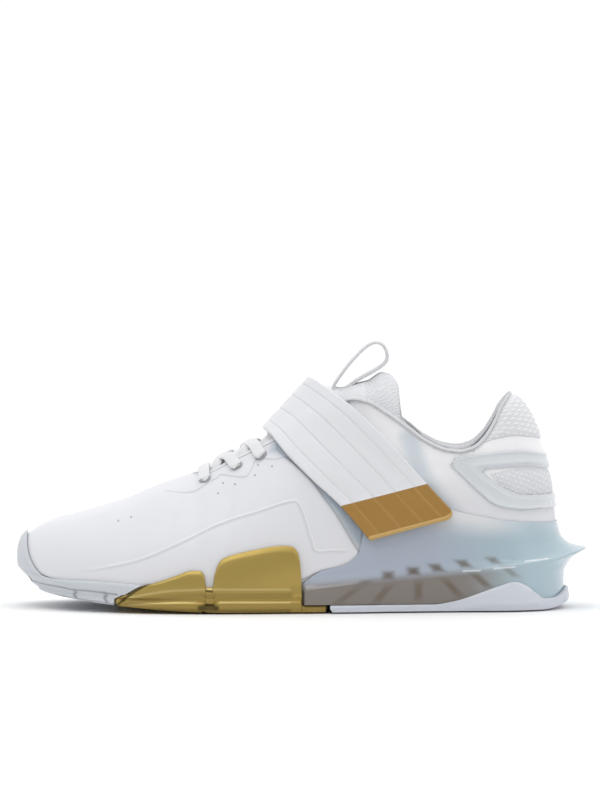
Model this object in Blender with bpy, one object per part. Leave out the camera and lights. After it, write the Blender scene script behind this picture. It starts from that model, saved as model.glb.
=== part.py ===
"""A left weightlifting shoe, with every piece worked out from the ribs of one last.

The toe points along -X and the heel along +X. The outer side of the foot faces -Y. The shoe
stands on Z = 0, with the middle of its length and of its width at the origin.

A station runs from 0 at the toe to 1 at the heel. A level runs up a rib, from 0 at the feather
edge, where the upper meets the sole, to 1 at the top line. A side is LATERAL or MEDIAL.
"""

import bmesh
import bpy
import numpy as np

LATERAL = -1
MEDIAL = 1

# Driving sizes of the last, in metres.
UPPER_LENGTH = 0.2873
BALL_WIDTH = 0.1000
HEEL_WIDTH = 0.0680
TOE_OFFSET = 0.0090
INSTEP_HEIGHT = 0.0865
HEEL_HEIGHT = 0.0880
TOE_LEAN = 0.0054
TOE_BULGE = 0.0007
HEEL_LEAN = 0.0259

# Heights under the foot.
TOE_SPRING = 0.0100
HEEL_BEVEL = 0.0035
FOREFOOT_STACK = 0.0066
TOE_STACK = 0.0115
HEEL_DROP = 0.0204
PLATE = 0.0035
INSOLE = 0.0040

# Walls and clearances.
WALL = 0.0022
COLLAR_PAD = 0.0052
RIM_RISE = 0.0016
SHELL_STEP = 0.0009
CLEARANCE = 0.0004
RUBBER_WALL = 0.0028
CLIP_WALL = 0.0036
SOLE_GAP = 0.0003
HEEL_RUBBER = 0.0022
TONGUE_PAD = 0.0080
STRAP_WIDTH = 0.0390
STRAP_THICKNESS = 0.0025
COUNTER_GAP = 0.0010
COUNTER_THICKNESS = 0.0012
LOOP_THICKNESS = 0.0020
LOOP_WIDTH = 0.0130
LACE_WIDTH = 0.0054
LACE_THICKNESS = 0.0022
EYELET_RADIUS = 0.0034
EYELET_HOLE = 0.0018
EYELET_THICKNESS = 0.0008

# Heights of the side features, above the floor.
BUMPER_HEIGHT = 0.4451 * INSTEP_HEIGHT
WING_HEIGHT = 0.4035 * INSTEP_HEIGHT
HEEL_WING_HEIGHT = 0.1739 * HEEL_HEIGHT
RIDGE_HEIGHT = 0.3523 * HEEL_HEIGHT
CLIP_HEIGHT = 0.6818 * HEEL_HEIGHT
FIN_REACH = 0.0118
STRAP_CREST = 1.4301 * INSTEP_HEIGHT
LOOP_TOP = 1.6509 * INSTEP_HEIGHT
COUNTER_TOP = 0.9636 * HEEL_HEIGHT
TOE_CORNER_INSET = 0.0102
TOE_CORNER_RISE = 0.0115
TOE_FILL = 0.0062
GROOVE_DEPTH = 0.0012
HEEL_PAD_RISE = 0.0015

# Stations where something starts or ends.
TOE_ROUND = 0.200
HEEL_ROUND = 0.130
FLAT_START = 0.378
HEEL_FLAT_END = 0.955
THROAT_START = 0.321
THROAT_FULL = 0.360
SHELL_EDGE = 0.600
COLLAR_START = 0.670
SPLIT_LOW = 0.177
SPLIT_HIGH = 0.237
SPLIT_REAR = 0.566
SPLIT_GAP = 0.004
CLIP_START = 0.521
TOE_CORNER = 0.160
SHELL_EDGE_RUN = 0.004
SEAM = 0.0018
SEAM_REACH = 0.090

# Half the difference between how far the sole reaches on its inner and on its outer side.
Y_SHIFT = 0.00045

# The height that the limits in the tables of the sole's sides are shares of.
ROW_HEIGHT = 0.0100

# Points closer together than this are one point.
WELD = 0.00008


def table(names, *rows):
    """The named columns of a table, each as an array with a value for each row."""
    return {name: np.array([row[i] for row in rows], float) for i, name in enumerate(names.split())}


# Widths are shares of the width at that station. A rib's own heights are shares of its rise, and
# the top line's height above the floor is a share of the shoe's height at that station.
SECTIONS = table(
    "station foot_lateral foot_medial wall wall_rise shoulder shoulder_rise top_width top",
    (0.000, 0.400, 0.385, 1.03, 0.33, 0.62, 0.85, 0.000, 0.474),
    (0.020, 0.408, 0.390, 1.03, 0.36, 0.62, 0.93, 0.000, 0.506),
    (0.050, 0.420, 0.396, 1.03, 0.40, 0.61, 0.98, 0.000, 0.543),
    (0.100, 0.434, 0.405, 1.04, 0.44, 0.60, 1.00, 0.000, 0.582),
    (0.200, 0.493, 0.432, 1.05, 0.46, 0.57, 1.00, 0.000, 0.673),
    (0.250, 0.520, 0.450, 1.05, 0.47, 0.55, 1.00, 0.000, 0.737),
    (0.321, 0.535, 0.464, 1.05, 0.47, 0.55, 0.99, 0.000, 0.808),
    (0.360, 0.534, 0.462, 1.05, 0.47, 0.56, 0.94, 0.135, 0.830),
    (0.420, 0.520, 0.442, 1.05, 0.46, 0.58, 0.91, 0.142, 0.922),
    (0.500, 0.509, 0.410, 1.06, 0.44, 0.62, 0.90, 0.152, 1.040),
    (0.580, 0.512, 0.396, 1.06, 0.42, 0.66, 0.88, 0.175, 1.167),
    (0.640, 0.516, 0.404, 1.06, 0.40, 0.71, 0.86, 0.225, 1.259),
    (0.670, 0.518, 0.412, 1.06, 0.38, 0.76, 0.84, 0.270, 1.289),
    (0.700, 0.520, 0.425, 1.06, 0.37, 0.81, 0.82, 0.325, 1.274),
    (0.740, 0.522, 0.445, 1.06, 0.36, 0.87, 0.79, 0.380, 1.203),
    (0.780, 0.520, 0.465, 1.06, 0.35, 0.92, 0.76, 0.425, 1.116),
    (0.820, 0.515, 0.480, 1.06, 0.34, 0.97, 0.73, 0.455, 1.025),
    (0.860, 0.508, 0.490, 1.07, 0.34, 1.00, 0.71, 0.470, 0.968),
    (0.890, 0.504, 0.494, 1.07, 0.34, 1.00, 0.71, 0.472, 0.955),
    (0.920, 0.500, 0.496, 1.07, 0.34, 1.00, 0.74, 0.462, 0.977),
    (0.945, 0.498, 0.496, 1.06, 0.35, 0.99, 0.79, 0.445, 1.040),
    (0.965, 0.497, 0.496, 1.05, 0.36, 0.98, 0.85, 0.425, 1.131),
    (0.980, 0.496, 0.496, 1.05, 0.37, 0.97, 0.90, 0.408, 1.222),
    (1.000, 0.495, 0.495, 1.05, 0.38, 0.95, 0.95, 0.385, 1.301),
)

# The heights of the edges that lap the upper or the clip, as shares of the named side heights.
BUMPER_LIP = table(
    "station height",
    (0.000, 1.000), (0.006, 0.930), (0.012, 0.800), (0.020, 0.650), (0.030, 0.530), (0.042, 0.455),
    (0.070, 0.422), (0.115, 0.415), (0.145, 0.410), (0.190, 0.402), (0.240, 0.392),
)
WING_LIP = table(
    "station height",
    (0.237, 0.433), (0.265, 0.490), (0.293, 0.560), (0.318, 0.622), (0.334, 0.622),
    (0.342, 0.560), (0.345, 0.380), (0.356, 0.380), (0.361, 0.560), (0.370, 0.740), (0.380, 0.810),
    (0.406, 0.880), (0.440, 0.940), (0.474, 0.990), (0.492, 1.000), (0.506, 0.985), (0.515, 0.900),
    (0.518, 0.720), (0.519, 0.420), (0.520, 0.097), (0.566, 0.097),
)
INNER_WING_LIP = table(
    "station height",
    (0.237, 0.433), (0.300, 0.440), (0.360, 0.520), (0.420, 0.627), (0.470, 0.637),
    (0.500, 0.554), (0.513, 0.388), (0.519, 0.185), (0.520, 0.097), (0.566, 0.097),
)
HEEL_WING_LIP = table(
    "station height",
    (0.570, 0.225), (0.757, 0.225), (0.800, 0.330), (0.853, 0.630), (0.885, 0.850), (0.912, 1.000),
    (0.930, 0.890), (0.946, 0.640), (0.962, 0.390), (0.978, 0.420), (0.990, 0.620), (1.000, 0.850),
)
CLIP_LIP_LINE = table(
    "station ridge lip",
    (0.521, 0.360, 0.250), (0.556, 0.400, 0.360), (0.600, 0.450, 0.420), (0.626, 0.480, 0.520),
    (0.640, 0.500, 0.740), (0.660, 0.520, 0.900), (0.710, 0.570, 1.000), (0.760, 0.615, 0.960),
    (0.840, 0.680, 0.860), (0.915, 0.770, 0.795), (0.970, 0.870, 0.770), (1.000, 1.000, 0.765),
)
FIN = table(
    "station reach",
    (0.521, 0.00), (0.600, 0.04), (0.800, 0.10), (0.900, 0.18), (0.950, 0.30), (0.980, 0.56),
    (0.993, 0.82), (1.000, 1.00),
)

# The sole's sides from the lip down. A row is at its share of the way up to the lip, but never
# higher than its limit, which is a share of the row height, and its thickness is a share of the rubber wall.
BUMPER_SIDE = table(
    "share limit thickness",
    (1.00, 900.00, 0.46), (0.90, 900.00, 0.80), (0.78, 900.00, 0.95), (0.64, 1.65, 1.00),
    (0.52, 1.15, 1.00), (0.40, 0.80, 0.86), (0.26, 0.48, 0.70), (0.13, 0.26, 0.98),
    (0.00, 0.00, 0.60),
)
WING_SIDE = table(
    "share limit thickness",
    (1.00, 900.00, 0.46), (0.91, 900.00, 0.76), (0.74, 900.00, 0.86), (0.58, 1.38, 0.92),
    (0.48, 1.08, 1.08), (0.38, 0.86, 1.12), (0.28, 0.66, 0.80), (0.17, 0.45, 1.18),
    (0.00, 0.00, 0.85),
)
HEEL_SIDE = table(
    "share limit thickness",
    (1.00, 900.00, 0.40), (0.88, 900.00, 0.90), (0.60, 0.62, 1.15), (0.30, 0.32, 1.45),
    (0.00, 0.00, 1.00),
)

# The clip's outside, from its foot up to the ridge and on to the lip. Each row is a share of the
# way, with a thickness that is a share of the clip's wall and a share of the fin's reach.
CLIP_BELOW = table(
    "share wall fin",
    (0.00, 1.00, 0.00), (0.45, 1.00, 0.00), (0.64, 1.00, 0.14), (0.84, 1.00, 0.46), (1.00, 1.00, 1.00),
)
CLIP_ABOVE = table(
    "share wall fin",
    (0.07, 0.92, 0.66), (0.20, 0.72, 0.28), (0.45, 0.46, 0.04), (0.75, 0.34, 0.00), (1.00, 0.25, 0.00),
)

# How far the tongue's crown stands above the top line, as shares of the tongue's padding.
TONGUE_CROWN = table(
    "station lift",
    (0.270, -0.450), (0.318, -0.450), (0.337, -0.420), (0.364, 0.150), (0.430, 0.400), (0.470, 0.200),
    (0.500, 0.550), (0.530, 1.100), (0.578, 2.020), (0.620, 1.480), (0.656, 0.950), (0.700, 1.400),
    (0.735, 2.550), (0.757, 2.650),
)

# The strap's two edges, from its outer end over the instep to its inner end. Stations are shares of
# the upper's length, heights are shares of the crest, and half widths are shares of the strap's
# width, 0 where the strap lies on the shoe's side.
STRAP_PATH = table(
    "side front front_height rear rear_height front_half rear_half",
    (-1, 0.6475, 0.308, 0.8117, 0.405, 0, 0), (-1, 0.5929, 0.455, 0.7541, 0.548, 0, 0),
    (-1, 0.5376, 0.568, 0.6936, 0.703, 0, 0), (-1, 0.4906, 0.664, 0.6335, 0.842, 0, 0),
    (-1, 0.4624, 0.751, 0.5846, 0.930, 0.440, 0.510), (0, 0.4455, 0.776, 0.5338, 1.000, 0, 0),
    (1, 0.4530, 0.751, 0.5507, 0.920, 0.440, 0.500), (1, 0.4624, 0.614, 0.5752, 0.764, 0, 0),
    (1, 0.4756, 0.461, 0.6071, 0.542, 0, 0), (1, 0.4868, 0.290, 0.6222, 0.320, 0, 0),
)
STRAP_STEPS = 3
STRAP_ACROSS = 6

# The counter's band round the heel: its lower half and upper half, each from its front tip to the
# back of the heel. Stations are shares of the upper's length, heights are shares of its top.
COUNTER_LOWER = table(
    "outer outer_height inner inner_height",
    (0.850, 0.910, 0.907, 0.866), (0.865, 0.820, 0.914, 0.822), (0.881, 0.732, 0.924, 0.780),
    (0.899, 0.662, 0.944, 0.728), (0.936, 0.630, 0.966, 0.720), (0.972, 0.630, 0.982, 0.719),
    (0.993, 0.630, 0.994, 0.719), (1.000, 0.630, 1.000, 0.719),
)
COUNTER_UPPER = table(
    "outer outer_height inner inner_height",
    (0.872, 0.955, 0.916, 0.886), (0.925, 0.980, 0.946, 0.894), (0.962, 0.998, 0.970, 0.896),
    (0.982, 0.988, 0.985, 0.888), (0.994, 0.975, 0.994, 0.880), (1.000, 0.970, 1.000, 0.878),
)

# The pull loop's centre line, as shares of the upper's length and of the loop's top.
LOOP_PATH = table(
    "station height",
    (0.5880, 0.8480), (0.6030, 0.8960), (0.6200, 0.9370), (0.6390, 0.9740), (0.6560, 0.9930),
    (0.6710, 0.9870), (0.6795, 0.9605), (0.6805, 0.9300), (0.6710, 0.9060), (0.6520, 0.8850),
    (0.6310, 0.8640), (0.6090, 0.8450),
)
EYELET_ROWS = (0.357, 0.422, 0.471)
EYELET_LEVEL = 0.860
TREAD_GROOVES = (0.096, 0.134, 0.340)
GROOVE_RUN = 0.006
SHELL_LEAN = table(
    "level shift",
    (0.00, 0.026), (0.25, 0.028), (0.50, 0.000), (0.75, -0.025), (1.00, -0.035),
)
UPPER_LEVELS = (0.0, 0.09, 0.20, 0.32, 0.45, 0.58, 0.71, 0.83, 0.93, 1.0)


def smoothstep(low, high, x):
    """A ramp from 0 at low to 1 at high that is level at both ends."""
    t = np.clip((np.asarray(x, float) - low) / (high - low), 0, 1)
    return t * t * (3 - 2 * t)


def curve(columns, name, x):
    """A smooth curve through a column, with no overshoot between its rows."""
    at = columns[next(iter(columns))]
    value = columns[name]
    slope = np.diff(value) / np.diff(at)
    tangent = np.zeros_like(value)
    rising = slope[1:] * slope[:-1] > 0
    tangent[1:-1][rising] = 2 * slope[1:][rising] * slope[:-1][rising] / (slope[1:] + slope[:-1])[rising]
    tangent[0], tangent[-1] = slope[0], slope[-1]
    x = np.clip(np.asarray(x, float), at[0], at[-1])
    i = np.clip(np.searchsorted(at, x, side="right") - 1, 0, len(slope) - 1)
    step = at[i + 1] - at[i]
    t = (x - at[i]) / step
    ends = value[i] * (1 + 2 * t) * (1 - t) ** 2 + value[i + 1] * t * t * (3 - 2 * t)
    return ends + step * (tangent[i] * t * (1 - t) ** 2 - tangent[i + 1] * t * t * (1 - t))


def end_round(u):
    """The share of its width that the outline keeps near the round toe and the round heel."""
    toe = np.clip(1 - np.asarray(u, float) / TOE_ROUND, 0, 1)
    heel = np.clip(1 - (1 - np.asarray(u, float)) / HEEL_ROUND, 0, 1)
    return (1 - toe**2.3) ** (1 / 2.3) * (1 - heel**2.2) ** (1 / 2.2)


def ground(u):
    """The height of the sole's underside: toe spring, flat, and a small bevel at the heel."""
    spring = np.clip((FLAT_START - np.asarray(u, float)) / FLAT_START, 0, 1)
    bevel = np.clip((np.asarray(u, float) - HEEL_FLAT_END) / (1 - HEEL_FLAT_END), 0, 1)
    return TOE_SPRING * spring**1.8 + HEEL_BEVEL * bevel**2


def feather(u):
    """The height of the feather edge, which climbs round the toe and up the wedge to the heel."""
    toe = (TOE_STACK - FOREFOOT_STACK) * np.clip(1 - np.asarray(u, float) / TOE_CORNER, 0, 1) ** 2
    wedge = HEEL_DROP * smoothstep(0.31, 0.80, u)
    return ground(np.minimum(u, HEEL_FLAT_END)) + FOREFOOT_STACK + toe + wedge


# How far the bumper reaches in front of the upper's feather edge, and the fin behind it.
TOE_EXTRA = TOE_BULGE + SHELL_STEP + CLEARANCE + RUBBER_WALL
HEEL_EXTRA = CLEARANCE + CLIP_WALL + FIN_REACH
TOE_X = -(TOE_EXTRA + UPPER_LENGTH + HEEL_EXTRA) / 2 + TOE_EXTRA
HEEL_X = TOE_X + UPPER_LENGTH


def rails(u, side):
    """The four control points of a rib: feather, wall, shoulder and top."""
    u = np.asarray(u, float)
    width = BALL_WIDTH + (HEEL_WIDTH - BALL_WIDTH) * smoothstep(0.40, 0.85, u)
    height = INSTEP_HEIGHT + (HEEL_HEIGHT - INSTEP_HEIGHT) * smoothstep(0.70, 0.90, u)
    rounded = end_round(u)
    foot = curve(SECTIONS, "foot_lateral" if side == LATERAL else "foot_medial", u) * width
    low = feather(u)
    rise = curve(SECTIONS, "top", u) * height - low
    half = (
        foot,
        foot * curve(SECTIONS, "wall", u),
        foot * curve(SECTIONS, "shoulder", u),
        curve(SECTIONS, "top_width", u) * width,
    )
    up = (0.0, curve(SECTIONS, "wall_rise", u), curve(SECTIONS, "shoulder_rise", u), 1.0)
    front = (0.0, -0.30 * TOE_LEAN, 0.0, TOE_LEAN)
    back = (0.0, 0.02 * HEEL_LEAN, -0.375 * HEEL_LEAN, -HEEL_LEAN)
    points = []
    for i in range(4):
        x = (TOE_X + front[i]) * (1 - u) + (HEEL_X + back[i]) * u
        y = spine(u) + side * half[i] * rounded
        points.append(np.stack([x, y, low + up[i] * rise], axis=-1))
    return points


def spine(u):
    """The line down the middle of the last, which bends towards the big toe."""
    return TOE_OFFSET * (1 - np.asarray(u, float)) ** 2 - Y_SHIFT


def rib(u, v, side):
    """The outer face of the upper at a station and a level: a cubic curve from feather to top line."""
    u, v = np.broadcast_arrays(np.asarray(u, float), np.asarray(v, float))
    a, b, c, d = rails(u, side)
    t = v[..., None]
    return a * (1 - t) ** 3 + 3 * b * t * (1 - t) ** 2 + 3 * c * t * t * (1 - t) + d * t**3


def outward(u, v, side):
    """The unit normal of the last's surface, out of the shoe."""
    u, v = np.broadcast_arrays(np.asarray(u, float), np.asarray(v, float))
    h = 1e-5
    along = rib(np.minimum(u + h, 1), v, side) - rib(np.maximum(u - h, 0), v, side)
    up = rib(u, np.minimum(v + h, 1), side) - rib(u, np.maximum(v - h, 0), side)
    n = np.cross(along, up) * -side
    closed = (v >= 1) & (u <= THROAT_START)
    n[..., 1] = np.where(closed | (u <= 0) | (u >= 1), 0, n[..., 1])
    return n / np.linalg.norm(n, axis=-1, keepdims=True)


def shoe_wall(u, v, side, out):
    """A point this far out of the last's surface."""
    return rib(u, v, side) + outward(u, v, side) * np.asarray(out, float)[..., None]


def level_at(u, z, side):
    """The level at which each rib reaches a height."""
    u, z = np.broadcast_arrays(np.asarray(u, float), np.asarray(z, float))
    levels = np.linspace(0, 1, 65)
    found = np.empty(u.shape)
    for i in np.ndindex(u.shape):
        heights = rib(np.full(65, u[i]), levels, side)[:, 2]
        found[i] = np.interp(z[i], np.maximum.accumulate(heights), levels)
    return found


def sole_wall(u, z, side, out):
    """A point at a height on the side of the sole or of the upper, this far out of the last."""
    u, z, out = np.broadcast_arrays(np.asarray(u, float), np.asarray(z, float), np.asarray(out, float))
    low = feather(u)
    point = shoe_wall(u, level_at(u, np.maximum(z, low), side), side, out)
    flat = outward(u, np.zeros_like(u), side)
    flat[..., 2] = 0
    flat /= np.linalg.norm(flat, axis=-1, keepdims=True)
    below = rib(u, np.zeros_like(u), side) + flat * out[..., None]
    point[..., :2] = np.where((z < low)[..., None], below[..., :2], point[..., :2])
    point[..., 2] = np.where(z < low, z, point[..., 2])
    return point


def shell_out(u):
    """How far out the parts beside the upper keep, to clear the forefoot shell's step."""
    return SHELL_STEP * (1 - smoothstep(0.640, 0.680, u))


def toe_share(u):
    """1 at the tip of the toe, falling to 0 where the bumper's rounded underside ends."""
    return np.clip(1 - np.asarray(u, float) / TOE_CORNER, 0, 1) ** 2


def plate_top(u):
    """The top of the rubber under the foot, which thickens behind the rounded toe."""
    return ground(u) + PLATE + TOE_FILL * toe_share(u)


def tread(u):
    """How deep the cross grooves cut into the underside."""
    depth = np.zeros(np.shape(u))
    for groove in TREAD_GROOVES:
        depth = np.where(np.abs(u - groove) < GROOVE_RUN / 2, GROOVE_DEPTH, depth)
    return depth


def material(name, colour, roughness, metallic=0.0):
    """A Principled material with one colour."""
    made = bpy.data.materials.new(name)
    made.use_nodes = True
    shader = made.node_tree.nodes["Principled BSDF"]
    shader.inputs["Base Color"].default_value = (*colour, 1.0)
    shader.inputs["Roughness"].default_value = roughness
    shader.inputs["Metallic"].default_value = metallic
    return made


def solid(name, points, faces, finish):
    """One closed mesh object from points and faces, welded where points coincide, faces outwards."""
    mesh = bpy.data.meshes.new(name)
    mesh.from_pydata([tuple(p) for p in points], [], [tuple(f) for f in faces])
    shape = bmesh.new()
    shape.from_mesh(mesh)
    bmesh.ops.remove_doubles(shape, verts=shape.verts, dist=WELD)
    bmesh.ops.dissolve_degenerate(shape, edges=shape.edges, dist=WELD / 4)
    bmesh.ops.triangulate(shape, faces=shape.faces)
    bmesh.ops.recalc_face_normals(shape, faces=shape.faces)
    shape.to_mesh(mesh)
    shape.free()
    mesh.shade_smooth()
    mesh.set_sharp_from_angle(angle=0.7)
    mesh.materials.append(finish)
    made = bpy.data.objects.new(name, mesh)
    bpy.context.collection.objects.link(made)
    return made


def strip_faces(columns, rows, offset, wrap):
    """Quads over two grids of points, one facing each way."""
    faces = []
    for i in range(columns if wrap else columns - 1):
        j = (i + 1) % columns
        for k in range(rows - 1):
            a, b, c, d = i * rows + k, j * rows + k, j * rows + k + 1, i * rows + k + 1
            faces.append((a, b, c, d))
            faces.append((offset + d, offset + c, offset + b, offset + a))
    return faces


def slab(name, outer, inner, finish, caps=(True, True), wrap=False):
    """A sheet with thickness: two grids of points, stitched along their edges.

    With wrap, the columns close into a ring. Without it, caps says which ends get a face; an end
    that closes on itself needs none.
    """
    columns, rows = outer.shape[:2]
    offset = columns * rows
    points = np.concatenate([outer.reshape(-1, 3), inner.reshape(-1, 3)])
    faces = strip_faces(columns, rows, offset, wrap)
    for i in range(columns if wrap else columns - 1):
        j = (i + 1) % columns
        for k in (0, rows - 1):
            faces.append((i * rows + k, j * rows + k, offset + j * rows + k, offset + i * rows + k))
    for capped, i in zip(caps, (0, columns - 1)):
        if capped and not wrap:
            for k in range(rows - 1):
                a, b = i * rows + k, i * rows + k + 1
                faces.append((a, b, offset + b, offset + a))
    return solid(name, points, faces, finish)


def eased(start, end, count, dense="even"):
    """Stations between two values, closer together at the dense end."""
    t = np.linspace(0, 1, count + 1)
    if dense == "start":
        t = 1 - np.cos(t * np.pi / 2)
    if dense == "end":
        t = np.sin(t * np.pi / 2)
    return start + (end - start) * t


def grid_normals(grid):
    """Unit normals of a grid of points, from the differences between neighbours."""
    n = np.cross(np.gradient(grid, axis=0), np.gradient(grid, axis=1))
    return n / np.linalg.norm(n, axis=-1, keepdims=True)


def upper_stations():
    """The upper's stations, with two close together at the rear edge of the forefoot shell."""
    parts = (
        eased(0, THROAT_START, 12, "start"),
        eased(THROAT_START, THROAT_FULL, 4, "start"),
        eased(THROAT_FULL, SHELL_EDGE, 6),
        eased(SHELL_EDGE, SHELL_EDGE + SHELL_EDGE_RUN, 1),
        eased(SHELL_EDGE + SHELL_EDGE_RUN, COLLAR_START, 2),
        eased(COLLAR_START, 0.90, 7),
        eased(0.90, 1.0, 8, "end"),
    )
    return np.concatenate([parts[0]] + [part[1:] for part in parts[1:]])


def shell_lean(u, v):
    """Moves the stations round the shell's rear edge, which leans forwards as it climbs."""
    shift = curve(SHELL_LEAN, "shift", v)
    before = smoothstep(THROAT_FULL, SHELL_EDGE, u)
    after = 1 - smoothstep(SHELL_EDGE + SHELL_EDGE_RUN, COLLAR_START, u)
    return u + shift * np.minimum(before, after) * (u > THROAT_FULL) * (u < COLLAR_START)


def wall_thickness(u, v):
    """The upper's wall, which is padded along the collar."""
    pad = smoothstep(0.55, 0.95, v) * smoothstep(0.690, 0.790, u)
    return WALL + COLLAR_PAD * pad


def upper_relief(u0, u, v):
    """How far the upper's outside stands out of the last: the shell's step and the heel's pad."""
    shell = np.where(u0 <= SHELL_EDGE + 1e-9, SHELL_STEP, 0.0) * (1 - smoothstep(0.72, 0.90, v))
    pad = HEEL_PAD_RISE * smoothstep(0.86, 0.93, u) * smoothstep(0.68, 0.76, v)
    return shell + pad * (1 - smoothstep(0.88, 1.0, v))


def make_upper(finish):
    """The upper: one wall from the feather edge to the edge of the throat and collar."""
    stations = upper_stations()
    u0, v = np.meshgrid(stations, UPPER_LEVELS, indexing="ij")
    u = shell_lean(u0, v)
    outer, inner = {}, {}
    for side in (LATERAL, MEDIAL):
        outer[side] = shoe_wall(u, v, side, upper_relief(u0, u, v))
        inner[side] = shoe_wall(u, v, side, -wall_thickness(u, v))
        outer[side][:, 0, 2] = feather(u[:, 0])
        inner[side][:, 0, 2] = feather(u[:, 0])
    outside = np.concatenate([outer[LATERAL], outer[MEDIAL][-2:0:-1]])
    inside = np.concatenate([inner[LATERAL], inner[MEDIAL][-2:0:-1]])
    is_open = np.concatenate([stations, stations[-2:0:-1]]) > THROAT_START + 1e-9
    columns, rows = outside.shape[:2]
    offset = columns * rows
    around = np.concatenate([stations, stations[-2:0:-1]])
    rise = RIM_RISE * (0.35 + 0.65 * smoothstep(0.66, 0.72, around))
    crown = (outside[:, -1] + inside[:, -1]) / 2
    crown[:, 2] += rise
    points = np.concatenate([outside.reshape(-1, 3), inside.reshape(-1, 3), crown])
    faces = strip_faces(columns, rows, offset, True)
    for i in range(columns):
        j = (i + 1) % columns
        faces.append((i * rows, j * rows, offset + j * rows, offset + i * rows))
        faces.extend(rim_faces(i, j, rows, offset, is_open))
    return solid("upper", points, faces, finish)


def rim_faces(i, j, rows, offset, is_open):
    """The faces over the upper's rim between two columns, through the raised middle row."""
    out_i, out_j = (i + 1) * rows - 1, (j + 1) * rows - 1
    in_i, in_j = offset + out_i, offset + out_j
    top_i, top_j = 2 * offset + i, 2 * offset + j
    if is_open[i] and is_open[j]:
        return [(out_i, out_j, top_j, top_i), (top_i, top_j, in_j, in_i)]
    if is_open[j]:
        return [(out_i, out_j, top_j), (top_j, in_j, in_i), (out_i, top_j, in_i)]
    if is_open[i]:
        return [(out_i, out_j, top_i), (top_i, in_j, in_i), (out_j, in_j, top_i)]
    return []


def toe_inset(u, rise):
    """How far the bumper's underside pulls in at the toe, for a height above the ground."""
    below = np.clip(1 - rise / TOE_CORNER_RISE, 0, 1)
    return TOE_CORNER_INSET * toe_share(u) * below**1.3


def seam_lean(s, z):
    """How far a station moves forwards near the slanted seam, for a height above the floor."""
    low, high = plate_top(SPLIT_LOW), BUMPER_HEIGHT * BUMPER_LIP["height"][-1]
    below = np.clip((high - z) / (high - low), 0, 1)
    ahead = np.clip(1 - (SPLIT_HIGH - s) / SEAM_REACH, 0, 1)
    behind = np.clip(1 - (s - SPLIT_HIGH) / SEAM_REACH, 0, 1)
    return (SPLIT_HIGH - SPLIT_LOW) * below * np.minimum(ahead, behind)


def sole_rows(stations, side, lip, lip_height, profile, out, wall):
    """The outer and inner grids of one side of a sole piece, from its lip to its ground edge."""
    s, k = np.meshgrid(stations, np.arange(len(profile["share"])), indexing="ij")
    share, limit = profile["share"][k], profile["limit"][k] * ROW_HEIGHT
    top = curve(lip, "height", s) * lip_height
    u = s
    for _ in range(6):
        low = ground(u)
        edge = np.maximum(top, plate_top(u))
        rise = np.minimum(limit, (edge - low) * share)
        u = s - seam_lean(s, low + rise)
    base = out(u)
    relief = (profile["thickness"][k] - 1) * smoothstep(PLATE, 3 * PLATE, edge - low)
    reach = base + wall * (1 + relief) - toe_inset(u, rise)
    outer = sole_wall(u, low + rise, side, reach)
    outer[:, -1, 2] = under_height(outer[:, -1, 0], u[:, -1])
    inner = sole_wall(u, np.maximum(low + rise, plate_top(u)), side, base)
    return outer, inner


def under_height(x, u):
    """The height of the underside at a place along the shoe."""
    at = np.minimum((x - TOE_X) / UPPER_LENGTH, np.maximum(u, 0.9))
    return ground(at) + tread(u)


def trough(name, stations, lips, lip_height, profile, out, wall, finish, caps):
    """A sole piece: a floor under the foot with a wall up each side."""
    sides = [
        sole_rows(stations, side, lip, lip_height, profile, out, wall)
        for side, lip in zip((LATERAL, MEDIAL), lips)
    ]
    sheets = []
    for face in (0, 1):
        left, right = sides[0][face], sides[1][face]
        middle = (left[:, -1:] + right[:, -1:]) / 2
        sheets.append(np.concatenate([left, middle, right[:, ::-1]], axis=1))
    return slab(name, sheets[0], sheets[1], finish, caps)


def beside_upper(u):
    """Where rubber that laps the upper starts."""
    return shell_out(u) + CLEARANCE


def beside_clip(u):
    """Where the heel's rubber starts, outside the clip's wall."""
    return shell_out(u) + CLEARANCE + CLIP_WALL + CLEARANCE


def with_grooves(stations, low, high):
    """The stations of a sole piece, with the edges of its cross grooves added."""
    edges = []
    for groove in TREAD_GROOVES:
        if low < groove < high:
            edges += [groove - GROOVE_RUN / 2 - 0.0004, groove - GROOVE_RUN / 2 + 0.0004]
            edges += [groove + GROOVE_RUN / 2 - 0.0004, groove + GROOVE_RUN / 2 + 0.0004]
    kept = [s for s in stations if all(abs(s - e) > 0.003 for e in edges)]
    return np.unique(np.concatenate([kept, edges]))


def make_forefoot(finish):
    """The pale rubber under the toes, with the bumper that climbs the front of the upper."""
    end = SPLIT_HIGH - SEAM / 2
    stations = np.concatenate([eased(0, 0.09, 8, "start"), eased(0.09, end, 4)[1:]])
    stations = with_grooves(stations, 0, SPLIT_LOW)
    lips = (BUMPER_LIP, BUMPER_LIP)
    return trough("outsole_forefoot", stations, lips, BUMPER_HEIGHT, BUMPER_SIDE, beside_upper,
                  RUBBER_WALL, finish, (False, True))


def make_midfoot(finish):
    """The gold rubber under the ball and the arch, with a wing up each side."""
    stations = np.concatenate([[SPLIT_HIGH + SEAM / 2], WING_LIP["station"][1:]])
    stations = with_grooves(stations, SPLIT_HIGH, 0.35)
    lips = (WING_LIP, INNER_WING_LIP)
    return trough("outsole_midfoot", stations, lips, WING_HEIGHT, WING_SIDE, beside_upper,
                  RUBBER_WALL, finish, (True, True))


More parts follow.
